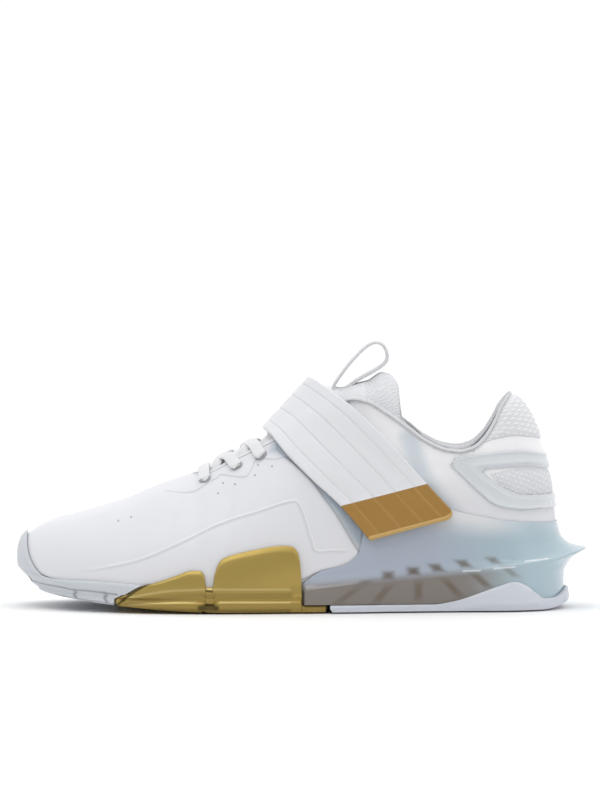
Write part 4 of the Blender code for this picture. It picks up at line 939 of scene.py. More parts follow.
class Upper(Piece):
    """The upper: its wall with the welded forefoot shell, eyestays, knit heel and padded rim."""

    SHELL = Outline(
        (-5.9, 14.0), (10.2, 21.4), (19.8, 22.5), (28.4, 26.8), (31.0, 31.0), (28.4, 35.3), (19.8, 49.8),
        (12.8, 59.4), (4.8, 70.1), (-4.0, 78.0), (-13.0, 85.0), (-22.0, 100.0), (-170.0, 100.0),
        (-170.0, -10.0), (-10.0, -10.0), closed=True, steps=5,
    )
    PANEL = Outline(
        (-110.0, 22.0), (-86.7, 27.3), (-64.7, 36.4), (-43.3, 46.5), (-23.0, 53.0), (-5.9, 58.3),
        (0.0, 56.0), (6.4, 37.5), (8.6, 32.6), (20.3, 32.6), (45.0, 28.0), (45.0, -20.0), (-135.0, -20.0),
        (-135.0, 17.0), closed=True,
    )
    STAY = Outline(
        (-72.0, 62.0), (-58.0, 61.5), (-50.0, 66.5), (-44.4, 69.6), (-42.8, 71.1), (-33.2, 70.1),
        (-28.0, 71.0), (-24.1, 79.2), (-21.4, 80.3), (-12.8, 79.7), (-2.0, 84.0), (6.0, 92.0),
    )
    PAD = Outline(
        (92.0, 84.0), (96.3, 88.3), (105.0, 91.2), (115.0, 92.6), (124.7, 91.5), (140.0, 91.0),
        (140.0, 130.0), (92.0, 130.0), closed=True, steps=4,
    )
    WINDOW = Outline(
        (100.6, 72.8), (111.3, 74.6), (122.5, 75.4), (132.0, 74.0), (140.0, 73.5), (140.0, 60.0),
        (132.0, 60.5), (115.0, 61.0), (106.5, 66.3), closed=True, steps=4,
    )
    # The blue-grey patch behind the shell: partly the strap's painted shadow, partly the translucent clip's
    # blue.
    SHADE = Outline(
        (-16.0, 84.0), (-4.0, 79.5), (4.8, 71.5), (12.8, 60.6), (20.0, 51.0), (28.6, 36.8), (33.0, 36.0),
        (36.0, 42.0), (24.0, 58.0), (12.0, 74.0), (0.0, 88.0), (-10.0, 96.0), closed=True, steps=4,
    )
    # The strap's rear edge, along which blue shade and reflection are painted.
    STRAP_SHADE_LINE = Outline((58.0, 92.0), (63.7, 73.8), (71.0, 62.0), (82.4, 49.2), (88.0, 40.0))
    CREASES = (
        ((-72.0, 41.0), (-64.0, 60.0), 3.6, 0.7), ((-58.0, 37.0), (-50.0, 60.0), 4.0, 1.0),
        ((-44.0, 36.0), (-36.0, 62.0), 4.0, 0.8), ((-28.0, 40.0), (-20.0, 66.0), 4.4, 0.5),
        ((64.0, 74.0), (84.0, 78.0), 4.6, 0.7), ((68.0, 62.0), (90.0, 66.0), 4.2, 0.5),
    )

    def stations(self, side: Side) -> Array:
        """The stations of one side, the same over the closed vamp and finer behind it laterally."""
        more = 2 if side is Side.LATERAL else 1
        throat, count = self.sizes.throat_start, UpperSizes.toe_columns
        return chain(
            run(0, 0.12, count // 3, Dense.START), run(0.12, throat, count - count // 3),
            run(throat, 0.36, 10 * more), run(0.36, 0.70, 70 * more), run(0.70, 0.90, 42 * more),
            run(0.90, 1.0, 30 * more, Dense.END),
        )

    def creases(self, place: Array) -> Array:
        """Soft troughs, each with a low ridge behind it, across the ball and below the ankle."""
        x, z = place[..., 0] / MM, place[..., 2] / MM
        height = np.zeros(x.shape)
        for (x0, z0), (x1, z1), width, depth in self.CREASES:
            dx, dz = x1 - x0, z1 - z0
            long = math.hypot(dx, dz)
            t = ((x - x0) * dx + (z - z0) * dz) / long**2
            across = ((x - x0) * dz - (z - z0) * dx) / long
            fade = smoothstep(-0.25, 0.25, t) * (1 - smoothstep(0.75, 1.25, t))
            trough = -hill(across, 0.0, width) + 0.55 * hill(across, 1.5 * width, 1.4 * width)
            height += depth * fade * trough
        return height

    def masks(self, place: Array, u: Array, v: Array) -> dict[str, Array]:
        """Signed distances in millimetres to what is drawn on the side, and soft shares.

        Args:
            place: Points on the last.
            u: Their stations.
            v: Their levels.

        Returns:
            A value for each point under each name.
        """
        x = place[..., 0] / MM
        window = np.where(u > 0.85, self.WINDOW.inside(place), -9.0)
        pad = np.maximum(self.PAD.inside(place), window)
        stay = self.STAY.distance(place)
        above = place[..., 2] / MM > np.interp(place[..., 0] / MM, *self.STAY.line.T)
        stay = np.where(above, stay, -stay) * np.where(u < 0.63, 1, -1)
        shade = self.SHADE.inside(place)
        return {
            "shell": np.clip(self.SHELL.inside(place), -6, 6),
            "panel": np.clip(self.PANEL.inside(place), -6, 6),
            # pale: painted light, paler towards the rear and the top
            "pale": smoothstep(0.0, 70.0, x) * smoothstep(52.0, 84.0, place[..., 2] / MM),
            "welt": smoothstep(-122, -98, x) * (1 - smoothstep(20, 27, x)),
            # throat: a measure down from the top line, where the shader paints a shadow under the rim
            "throat": (1 - v) * 80 + 9 * smoothstep(0.62, 0.65, u) + 9 * (1 - smoothstep(0.325, 0.345, u)),
            "eyestay": np.clip(stay, -6, 6),
            "pad": np.clip(pad, -4, 4),
            "shade": smoothstep(-3.5, 3.0, shade) * 0.9,
            # Painted blue shade and reflection, fading out 9 mm from the strap's rear edge
            "strap_shade": (1 - smoothstep(1.0, 9.0, self.STRAP_SHADE_LINE.distance(place))) * 0.7 * (u > 0.6),
        }

    def relief(self, masks: dict[str, Array], place: Array, u: Array, v: Array) -> Array:
        """How far the outside stands out: shell, eyestays, knit pad, window and creases, summed."""
        size = UpperSizes
        shell = self.sizes.shell_step * smoothstep(-0.7, 0.7, masks["shell"])
        shell = shell * (1 - smoothstep(0.72, 0.90, v))
        stay = size.stay_step * smoothstep(-0.6, 0.6, masks["eyestay"])
        stay = stay * smoothstep(0.30, 0.33, u) * (1 - smoothstep(0.62, 0.64, u))
        pad = size.pad_rise * smoothstep(-1.0, 2.0, self.PAD.inside(place)) * smoothstep(0.85, 0.88, u)
        window = size.window_rise * smoothstep(0.0, 4.0, self.WINDOW.inside(place)) * (u > 0.85)
        calm = 1 - smoothstep(0.8, 0.95, v)
        low = smoothstep(0.05, 0.2, v)
        top = 1 - smoothstep(0.90, 1.0, v)
        return shell + (stay + pad * top + window) + size.crease * self.creases(place) * calm * low

    def ring(self) -> tuple[Array, Array, dict[str, Array], Array]:
        """One closed ring of ribs: outside, rim and inside.

        Returns:
            Points, map places, masks and whether the rib is over the closed vamp.
        """
        size, last = UpperSizes, self.last
        sheets, maps, marks, open_ribs = [], [], [], []
        for side in Side:
            stations = self.stations(side)
            u, v = np.meshgrid(stations, run(0, 1, size.outer_levels), indexing="ij")
            base = last.rib(u, v, side)
            masks = self.masks(base, u, v)
            outer = last.wall(u, v, side, self.relief(masks, base, u, v))
            outer[:, 0, 2] = last.feather(stations)
            u_in, v_in = np.meshgrid(stations, run(1, 0, size.inner_levels), indexing="ij")
            inner = last.wall(u_in, v_in, side, -last.wall_thickness(u_in, v_in))
            inner[:, -1, 2] = last.feather(stations)
            angle = np.linspace(0, np.pi, size.rim_rows + 2)[1:-1]
            middle, half = (outer[:, -1] + inner[:, 0]) / 2, (outer[:, -1] - inner[:, 0]) / 2
            opening = smoothstep(self.sizes.throat_start, self.sizes.throat_start + 0.02, stations)
            rise = size.rim_rise * (0.35 + 0.65 * smoothstep(0.66, 0.72, stations)) * opening
            rim = middle[:, None] + half[:, None] * np.cos(angle)[None, :, None]
            rim[..., 2] += rise[:, None] * np.sin(angle)[None]
            sheet = np.concatenate([outer, rim, inner], axis=1)
            climb = along_rows(sheet, 1)
            flat = np.stack([np.broadcast_to(u[:, :1] * self.sizes.length, climb.shape), climb], axis=-1)
            extra = sheet.shape[1] - outer.shape[1]
            wide = {name: np.pad(mark, ((0, 0), (0, extra)), mode="edge") for name, mark in masks.items()}
            keep = slice(None) if side is Side.LATERAL else slice(-2, 0, -1)
            sheets.append(sheet[keep])
            maps.append(flat[keep])
            marks.append({name: mark[keep] for name, mark in wide.items()})
            open_ribs.append(stations[keep] > self.sizes.throat_start + 1e-9)
        merged = {name: np.concatenate([mark[name] for mark in marks]) for name in marks[0]}
        return np.concatenate(sheets), np.concatenate(maps), merged, np.concatenate(open_ribs)

    def build(self, outside: Material, lining: Material) -> None:
        """Makes the upper as one closed mesh.

        Args:
            outside: The finish of its outside.
            lining: The finish of its rim and inside.
        """
        size = UpperSizes
        points, flat, masks, is_open = self.ring()
        columns, rows = points.shape[:2]
        faces = grid_faces(columns, rows, True, True)
        column, row = np.divmod(np.arange(columns * rows), rows)
        rim = (row >= size.outer_levels) & (row <= size.outer_levels + size.rim_rows)
        shut = ~is_open[column] & ~is_open[(column + 1) % columns]
        keep = ~(rim & shut)
        slots = (row > size.outer_levels + 2).astype(int) * (row < rows - 1)
        flats = {name: mark.ravel() for name, mark in masks.items()}
        surface = Surface(points.reshape(-1, 3), faces[keep], flat.reshape(-1, 2), flats, slots[keep])
        self.place(surface.build("shoe_upper", [outside, lining]), ("upper",), "upper")


@dataclass(frozen=True)
class PipingSizes:
    """The knitted cord along the collar's edge, and where it starts and lies."""

    start: float = 0.648
    level: float = 0.985
    radius: float = 0.0014
    columns: int = 190
    rows: int = 14


class Piping(Piece):
    """The knitted cord round the collar, from one eyestay round the heel to the other."""

    def build(self, finish: Material) -> None:
        """Sweeps a circle along the top line, a little outside it."""
        size, last = PipingSizes, self.last
        halves = []
        for side in Side:
            u = run(size.start, 1.0, size.columns, Dense.END)
            v = np.full_like(u, size.level)
            path = last.wall(u, v, side, np.full_like(u, -0.25 * size.radius))
            path[:, 2] += 0.85 * size.radius
            halves.append(path)
        path = np.concatenate([halves[0], halves[1][-2::-1]])
        across, up = carried(path, np.array([0.0, 0.0, 1.0]))
        angle = np.linspace(0, 2 * np.pi, size.rows, endpoint=False)
        ends = np.linspace(0, 1, len(path))
        near = np.clip(1 - np.minimum(ends, 1 - ends) / 0.008, 0, 1)
        slim = 1 - 0.55 * hill(ends, 0.5, 0.30)
        radius = size.radius * slim * np.sqrt(np.clip(1 - near**2, 0, 1))
        ring = across[:, None] * np.cos(angle)[None, :, None] + up[:, None] * np.sin(angle)[None, :, None]
        points = path[:, None] + ring * radius[:, None, None]
        far = np.broadcast_to(along_rows(path[:, None], 0), points.shape[:2])
        turn = np.broadcast_to(angle * size.radius, points.shape[:2])
        faces = grid_faces(len(path), size.rows, False, True)
        surface = Surface(points.reshape(-1, 3), faces, np.stack([far, turn], axis=-1).reshape(-1, 2))
        self.place(surface.build("collar_piping", [finish]), slot="upper")


class Tongue(Piece):
    """The padded tongue, arched between the eyestays, with a rounded end inside the collar."""

    PAD, KNIT_START = 0.0080, 0.692
    CROWN = table(
        "station lift",
        (0.270, -0.450), (0.318, -0.450), (0.337, -0.420), (0.364, 0.150), (0.430, 0.400), (0.470, 0.200),
        (0.500, 0.550), (0.530, 1.100), (0.578, 2.020), (0.620, 1.480), (0.656, 0.950), (0.700, 1.400),
        (0.735, 2.600), (0.752, 2.750), (0.764, 2.550), (0.775, 2.000),
    )

    def grid(self, stations: Array, clearance: float = 0.0) -> Array:
        """The outer face in 13 rows: tucked under the eyestays and arched over the instep."""
        last, s = self.last, self.sizes
        tops = [last.rib(stations, np.ones_like(stations), side) for side in Side]
        crown = (tops[0] + tops[1]) / 2
        crown[:, 2] += self.PAD * curve(self.CROWN, "lift", stations) + clearance
        halves = []
        is_open = smoothstep(0.320, 0.336, stations)
        top_level = 0.84 + 0.155 * is_open
        for side in Side:
            rows = []
            for below in (0.19, 0.095, 0.0):
                v = top_level - below
                inset = last.wall_thickness(stations, v) + s.clearance * 3 - clearance
                rows.append(last.wall(stations, v, side, -inset))
            foot = rows[-1]
            for share in (0.84, 0.60, 0.30):
                rise = (1 - share**2) ** 0.75
                point = crown + (foot - crown) * share
                point[:, 2] = foot[:, 2] + (crown[:, 2] - foot[:, 2]) * rise
                point[:, 0] = foot[:, 0] + (crown[:, 0] - foot[:, 0]) * rise
                v = 1 - (1 - top_level) * share
                inset = np.full_like(stations, s.wall + s.clearance * 3 - clearance)
                tucked = last.wall(stations, v, side, -inset)
                rows.append(tucked + (point - tucked) * is_open[:, None])
            halves.append(rows)
        return np.stack(halves[0] + [crown] + halves[1][::-1], axis=1)

    def build(self, cloth: Material, knit: Material) -> None:
        """Makes the pad, its thickness falling to both side edges and to its front.

        Args:
            cloth: The finish of its front.
            knit: The finish of the part that stands above the strap.
        """
        stations = chain(run(0.270, 0.470, 40), run(0.470, 0.775, 76, Dense.END))
        outer = self.grid(stations)
        at = np.linspace(0, 12, 73)
        outer = resample(outer.swapaxes(0, 1), at).swapaxes(0, 1)
        normals = grid_normals(outer)
        normals = normals * np.sign(normals[:, 36:37, 2:3])
        pad = np.interp(at, np.arange(13), [0.34, 0.62, 0.86, 1, 1, 1, 1, 1, 1, 1, 0.86, 0.62, 0.34])
        grow = 0.35 + 0.65 * smoothstep(0.33, 0.48, stations)
        thick = self.PAD * pad[None] * grow[:, None]
        inner = outer - normals * thick[..., None]
        slab = Slab(outer, inner, (1.6 * MM, 1.6 * MM), (2.0 * MM, 7.0 * MM))
        surface = slab.surface()
        column = np.arange(len(surface.faces)) // (2 * len(at))
        knitted = (column >= np.searchsorted(stations, self.KNIT_START)) & (column < len(stations))
        surface.slots = (~knitted).astype(int)
        made = self.place(surface.build("padded_tongue", [knit, cloth]), ("tongue",), "mesh")


class Insole(Piece):
    """The insole, a cushion with a cupped rim. The row of pinholes under the toes is not modelled."""

    THICKNESS = 0.0040

    def build(self, finish: Material) -> None:
        """Makes the cushion: flat rows across, lifted at the rim."""
        last, s = self.last, self.sizes
        stations = chain(run(0, 0.12, 30, Dense.START), run(0.12, 0.90, 120), run(0.90, 1, 30, Dense.END))
        inset = np.full_like(stations, s.wall + s.clearance)
        edges = [last.wall(stations, np.zeros_like(stations), side, -inset) for side in Side]
        t = run(0, 1, 48, Dense.BOTH)[None, :, None]
        low = edges[0][:, None] * (1 - t) + edges[1][:, None] * t
        low[..., 2] = (last.feather(stations) + s.sole_gap)[:, None]
        across = np.abs(2 * t[..., 0] - 1)
        cup = 0.35 * smoothstep(0.7, 1.0, across) * last.end_round(stations)[:, None]
        high = low.copy()
        high[..., 2] += self.THICKNESS * (1 + cup)
        slab = Slab(high, low, (1.2 * MM, 1.2 * MM), (0.4 * MM, 0.4 * MM))
        made = slab.surface().build("cushioned_insole", [finish, finish])
        self.place(made, ("insole",), "insole_cloth")


@dataclass(frozen=True)
class StrapSizes:
    """The strap's sizes, and where its channels run as shares of its width."""

    width: float = 0.0390
    thickness: float = 0.0025
    crest: float = 0.1237
    channels: tuple[float, ...] = (0.14, 0.38, 0.63, 0.85)
    channel_half: float = 0.020
    channel_depth: float = 0.0006
    corner: float = 0.0070
    corner_run: float = 0.014
    rim_rise: float = 0.0005
    across: int = 96
    steps: int = 14


class Strap(Piece):
    """The strap over the instep, in five bands, and the stiff gold tab at its outer end."""

    PATH = table(
        "side front front_height rear rear_height front_half rear_half",
        (-1, 0.6475, 0.308, 0.8117, 0.405, 0, 0), (-1, 0.5929, 0.455, 0.7541, 0.548, 0, 0),
        (-1, 0.5376, 0.572, 0.6936, 0.703, 0, 0), (-1, 0.4906, 0.678, 0.6335, 0.842, 0, 0),
        (-1, 0.4624, 0.751, 0.5846, 0.930, 0.440, 0.510), (0, 0.4455, 0.776, 0.5338, 1.000, 0, 0),
        (1, 0.4530, 0.751, 0.5507, 0.920, 0.440, 0.500), (1, 0.4624, 0.614, 0.5752, 0.764, 0, 0),
        (1, 0.4756, 0.461, 0.6071, 0.542, 0, 0), (1, 0.4868, 0.290, 0.6222, 0.320, 0, 0),
    )

    def __init__(self, last: Last, clip: "Clip") -> None:
        """Keeps the clip too, which the strap lies over."""
        super().__init__(last)
        self.clip = clip

    def rows(self) -> Array:
        """The ten rows of the path, each a line across from the front edge to the rear one."""
        size, last = StrapSizes, self.last
        across = np.linspace(0, 1, size.across + 1)
        rows = []
        for i, sign in enumerate(self.PATH["side"]):
            names = [[end + part for part in ("", "_height", "_half")] for end in ("front", "rear")]
            ends = [[self.PATH[name][i] for name in row] for row in names]
            station, height, half = [a + (b - a) * across for a, b in zip(*ends)]
            x, z = last.toe_x + self.sizes.length * station, size.crest * height
            if sign == 0 or ends[0][2] > 0:
                y = last.spine(station) + sign * half * size.width
                rows.append(np.stack([x, y, z], axis=-1))
                continue
            side = Side(int(sign))
            out = np.full_like(x, size.thickness + self.sizes.clearance)
            for _ in range(3):
                u, v = last.wall_place(x, z, side, out)
                cover = self.clip.cover(u, last.rib(u, v, side)[..., 2])
                out = size.thickness + 2 * self.sizes.clearance + cover
            rows.append(last.wall(u, v, side, out))
        return np.stack(rows)

    def channel_depth(self, across: Array) -> Array:
        """How deep the channels cut at each share of the width: a hump turned over at each."""
        size = StrapSizes
        return size.channel_depth * sum(hill(across, at, size.channel_half) for at in size.channels)

    def build(self, cloth: Material, tab: Material) -> None:
        """Makes the strap and its tab from one smooth path.

        Args:
            cloth: The strap's finish.
            tab: The tab's finish.
        """
        size = StrapSizes
        control = self.rows()
        cut = size.steps
        outer = resample(control, np.linspace(0, len(control) - 1, (len(control) - 1) * cut + 1))
        normals = grid_normals(outer)
        normals = normals * np.sign(normals[len(outer) // 2, size.across // 2, 2])
        inner = outer - normals * size.thickness
        across = np.linspace(0, 1, size.across + 1)
        grooved = outer - normals * self.channel_depth(across)[None, :, None]
        edge = 1.1 * MM
        strap = Slab(grooved[cut:], inner[cut:], (edge, edge), (0.0, edge))
        channel = np.broadcast_to(self.channel_depth(across) / size.channel_depth, outer.shape[:2])
        surface = strap.surface(masks={"channel": channel[cut:]})
        self.place(surface.build("instep_strap", [cloth, cloth]), ("strap",), "strap_cloth")
        self.build_tab(outer[: cut + 1], normals[: cut + 1], channel[: cut + 1], tab)

    def build_tab(self, outer: Array, normals: Array, channel: Array, finish: Material) -> None:
        """Makes the tab, with a raised rim along its lower end and its lower rear corner round."""
        size = StrapSizes
        t = np.linspace(0, 1, len(outer) * 3)
        at = (1 - np.cos(t * np.pi / 2)) * (len(outer) - 1) * (1 - 0.003)
        outer, normals = resample(outer, at), unit(resample(normals, at))
        channel = resample(channel, at)
        low, across = along_rows(outer, 0), along_rows(outer, 1)
        total = across[:, -1:]
        rear = total - across
        corner = np.clip(size.corner - rear, 0, None) / size.corner
        lift = (1 - np.sqrt(np.clip(1 - corner**2, 0, 1))) * size.corner
        step = unit(outer[1:2] - outer[:1])
        fade = np.clip(1 - low / size.corner_run, 0, 1) ** 1.5
        outer = outer + step * (lift * fade)[..., None]
        rim = 1 - smoothstep(1.6 * MM, 2.6 * MM, low)
        groove = self.channel_depth(np.linspace(0, 1, size.across + 1))[None]
        height = size.rim_rise * rim - groove * 0.5 * (1 - rim)
        raised = outer + normals * height[..., None]
        inner = outer - normals * size.thickness
        slab = Slab(raised, inner, (0.9 * MM, 0.9 * MM), (0.9 * MM, 0.0))
        surface = slab.surface(masks={"rim": np.maximum(0.75 * rim, channel**4 * 0.35)})
        self.place(surface.build("strap_tab", [finish, finish]), ("strap_tip",), "gold_tip")


class Clip(Piece):
    """The moulded heel clip: a wall up both sides and round the back, with a ridge and a fin."""

    HEIGHT, RIDGE = 0.0600, 0.0310
    LINES = table(
        "station ridge lip",
        (0.521, 0.360, 0.250), (0.556, 0.400, 0.360), (0.600, 0.450, 0.420), (0.626, 0.480, 0.520),
        (0.640, 0.500, 0.740), (0.660, 0.520, 0.900), (0.710, 0.570, 1.000), (0.760, 0.615, 0.960),
        (0.840, 0.680, 0.860), (0.915, 0.770, 0.795), (0.970, 0.870, 0.770), (1.000, 1.000, 0.765),
    )
    FIN = table(
        "station reach",
        (0.521, 0.00), (0.600, 0.04), (0.800, 0.10), (0.900, 0.18), (0.950, 0.30), (0.980, 0.56),
        (0.993, 0.82), (1.000, 1.00),
    )
    BELOW = (
        (0.00, 1.00, 0.00), (0.45, 1.00, 0.00), (0.64, 1.00, 0.14), (0.84, 1.00, 0.46), (1.00, 1.00, 1.00),
    )
    ABOVE = (
        (0.07, 0.92, 0.66), (0.20, 0.72, 0.28), (0.45, 0.46, 0.04), (0.75, 0.26, 0.00), (1.00, 0.10, 0.00),
    )
    PILLARS = table(
        "x z half_x half_z lean strength",
        (46.5, 19.3, 3.6, 2.4, 0.0, 0.75), (59.9, 21.4, 3.8, 2.4, 0.2, 0.85),
        (72.2, 23.0, 3.8, 2.4, 0.8, 0.80), (86.7, 25.1, 3.8, 2.3, 1.0, 0.75),
        (102.7, 26.8, 3.4, 2.0, 1.2, 0.60), (24.6, 8.6, 3.0, 4.6, -1.4, 0.55),
        (43.3, 9.1, 2.8, 5.2, -0.8, 0.65), (62.6, 10.7, 2.6, 5.6, 0.0, 0.70),
        (80.8, 12.3, 2.6, 5.4, 0.9, 0.75), (96.3, 16.0, 2.8, 4.4, 1.1, 0.75),
        (33.5, 15.5, 4.0, 1.8, -1.0, 0.35), (112.0, 20.5, 2.6, 3.2, 1.2, 0.45),
    )
    GLINTS = (
        Outline((86.7, 21.2), (95.8, 21.6)),
        Outline((102.7, 22.6), (114.0, 23.4)),
        Outline((119.8, 26.2), (132.1, 27.2)),
    )

    def rows(self, u: Array) -> tuple[Array, Array]:
        """Heights and outward reaches at each station, from the clip's foot to its lip."""
        last, s = self.last, self.sizes
        low = last.plate_top(u) + s.sole_gap
        ridge, lip = self.RIDGE * curve(self.LINES, "ridge", u), self.HEIGHT * curve(self.LINES, "lip", u)
        fin = s.fin_reach * curve(self.FIN, "reach", u)
        base = last.shell_out(u) + s.clearance
        heights, reaches = [], []
        for rows, start, end in ((self.BELOW, low, ridge), (self.ABOVE, ridge, lip)):
            for share, wall, reach in rows:
                heights.append(start + (end - start) * share)
                reaches.append(base + s.clip_wall * wall + fin * reach)
        return np.stack(heights, axis=-1), np.stack(reaches, axis=-1)

    def cover(self, u: Array, z: Array) -> Array:
        """How far out a part that lies over the clip's thin upper edge has to keep."""
        covers = [self.last.shell_out(u)]
        for near in (u - 0.03, u, u + 0.03):
            heights, reaches = self.rows(near)
            cover = np.array([np.interp(a, h, r) for a, h, r in zip(z, heights, reaches)])
            fade = 1 - smoothstep(0.001, 0.007, z - heights[..., -1])
            covers.append((cover + self.sizes.clearance) * fade * smoothstep(0.56, 0.60, u))
        return np.max(covers, axis=0)

    def masks(self, place: Array, u: Array, share: Array) -> dict[str, Array]:
        """Where the clip is blue, white or tan, or shows a pillar or a glint, as soft shares."""
        x, z = place[..., 0] / MM, place[..., 2] / MM
        pillar = np.zeros(x.shape)
        for cx, cz, half_x, half_z, lean, strength in zip(*self.PILLARS.values()):
            away = np.maximum(np.abs(x - cx + lean * (z - cz)) / half_x, np.abs(z - cz) / half_z)
            pillar = np.maximum(pillar, strength * (1 - smoothstep(0.20, 1.35, away)))
        glints = [1 - smoothstep(0.0, 0.60, line.distance(place)) for line in self.GLINTS]
        rear = 0.15 + 0.85 * (1 - smoothstep(95, 125, x))
        border = z - 15.0 - 0.077 * (x - 5.0)
        return {
            "heel": smoothstep(62, 118, x),
            "lip": smoothstep(0.50, 0.97, share) * smoothstep(54, 78, x) * rear,
            "low": (1 - smoothstep(-3.5, 2.5, border)) * (1 - smoothstep(84, 124, x)) * 0.80,
            "pillar": pillar,
            "glint": 0.8 * np.max(glints, axis=0),
        }

    def build(self, finish: Material) -> None:
        """Makes the clip: smooth rows through the table's heights and reaches, at each station."""
        last, s = self.last, self.sizes
        u = chain(
            run(0.521, 0.62, 30), run(0.62, 0.67, 24), run(0.67, 0.90, 80), run(0.90, 1.0, 60, Dense.END),
        )
        heights, reaches = self.rows(u)
        at = chain(run(0, 8, 48), run(8, 9, 12, Dense.END))
        z, reach = (resample(part.T, at).T for part in (heights, reaches))
        stations = np.broadcast_to(u[:, None], z.shape)
        share = (z - heights[:, 4:5]) / np.maximum(heights[:, -1:] - heights[:, 4:5], MM)
        base = np.broadcast_to((last.shell_out(u) + s.clearance)[:, None], z.shape)
        sheets = []
        for out in (reach, base):
            halves = [last.sole_wall(stations, z, side, out) for side in Side]
            sheets.append(np.concatenate([halves[0], halves[1][-2::-1]]))
        marks = self.masks(sheets[0], stations, np.concatenate([share, share[-2::-1]]))
        slab = Slab(sheets[0], sheets[1], (0.0, 0.8 * MM), (0.5 * MM, 0.5 * MM))
        made = slab.surface(masks=marks).build("moulded_clip", [finish, finish], sharp=1.0)
        self.place(made, ("heel_clip",), "blue_plastic")


@dataclass(frozen=True)
class Profile:
    """The rows down one side of a sole piece, from its lip to the ground.

    A row is at its share of the way up to the lip, but never higher than its limit in metres, and
    its thickness is a share of the rubber's wall.
    """

    share: tuple[float, ...]
    limit: tuple[float, ...]
    thickness: tuple[float, ...]
    steps: int = 7


@dataclass(frozen=True)
class Rubber:
    """One moulded piece of the sole: a floor under the foot, with a wall up each side.

    Its lips are the tables of its two walls' tops, as shares of its height, and its ends are the
    radii that round its front and its rear.
    """

    name: str
    node: str
    slot: str
    lips: tuple[dict[str, Array], dict[str, Array]]
    height: float
    side: Profile
    ends: tuple[float, float]
    grooves_and_shade: tuple[Stroke, ...] = ()
    # Drawn lines that are painted as highlights.
    edges: tuple[Stroke, ...] = ()


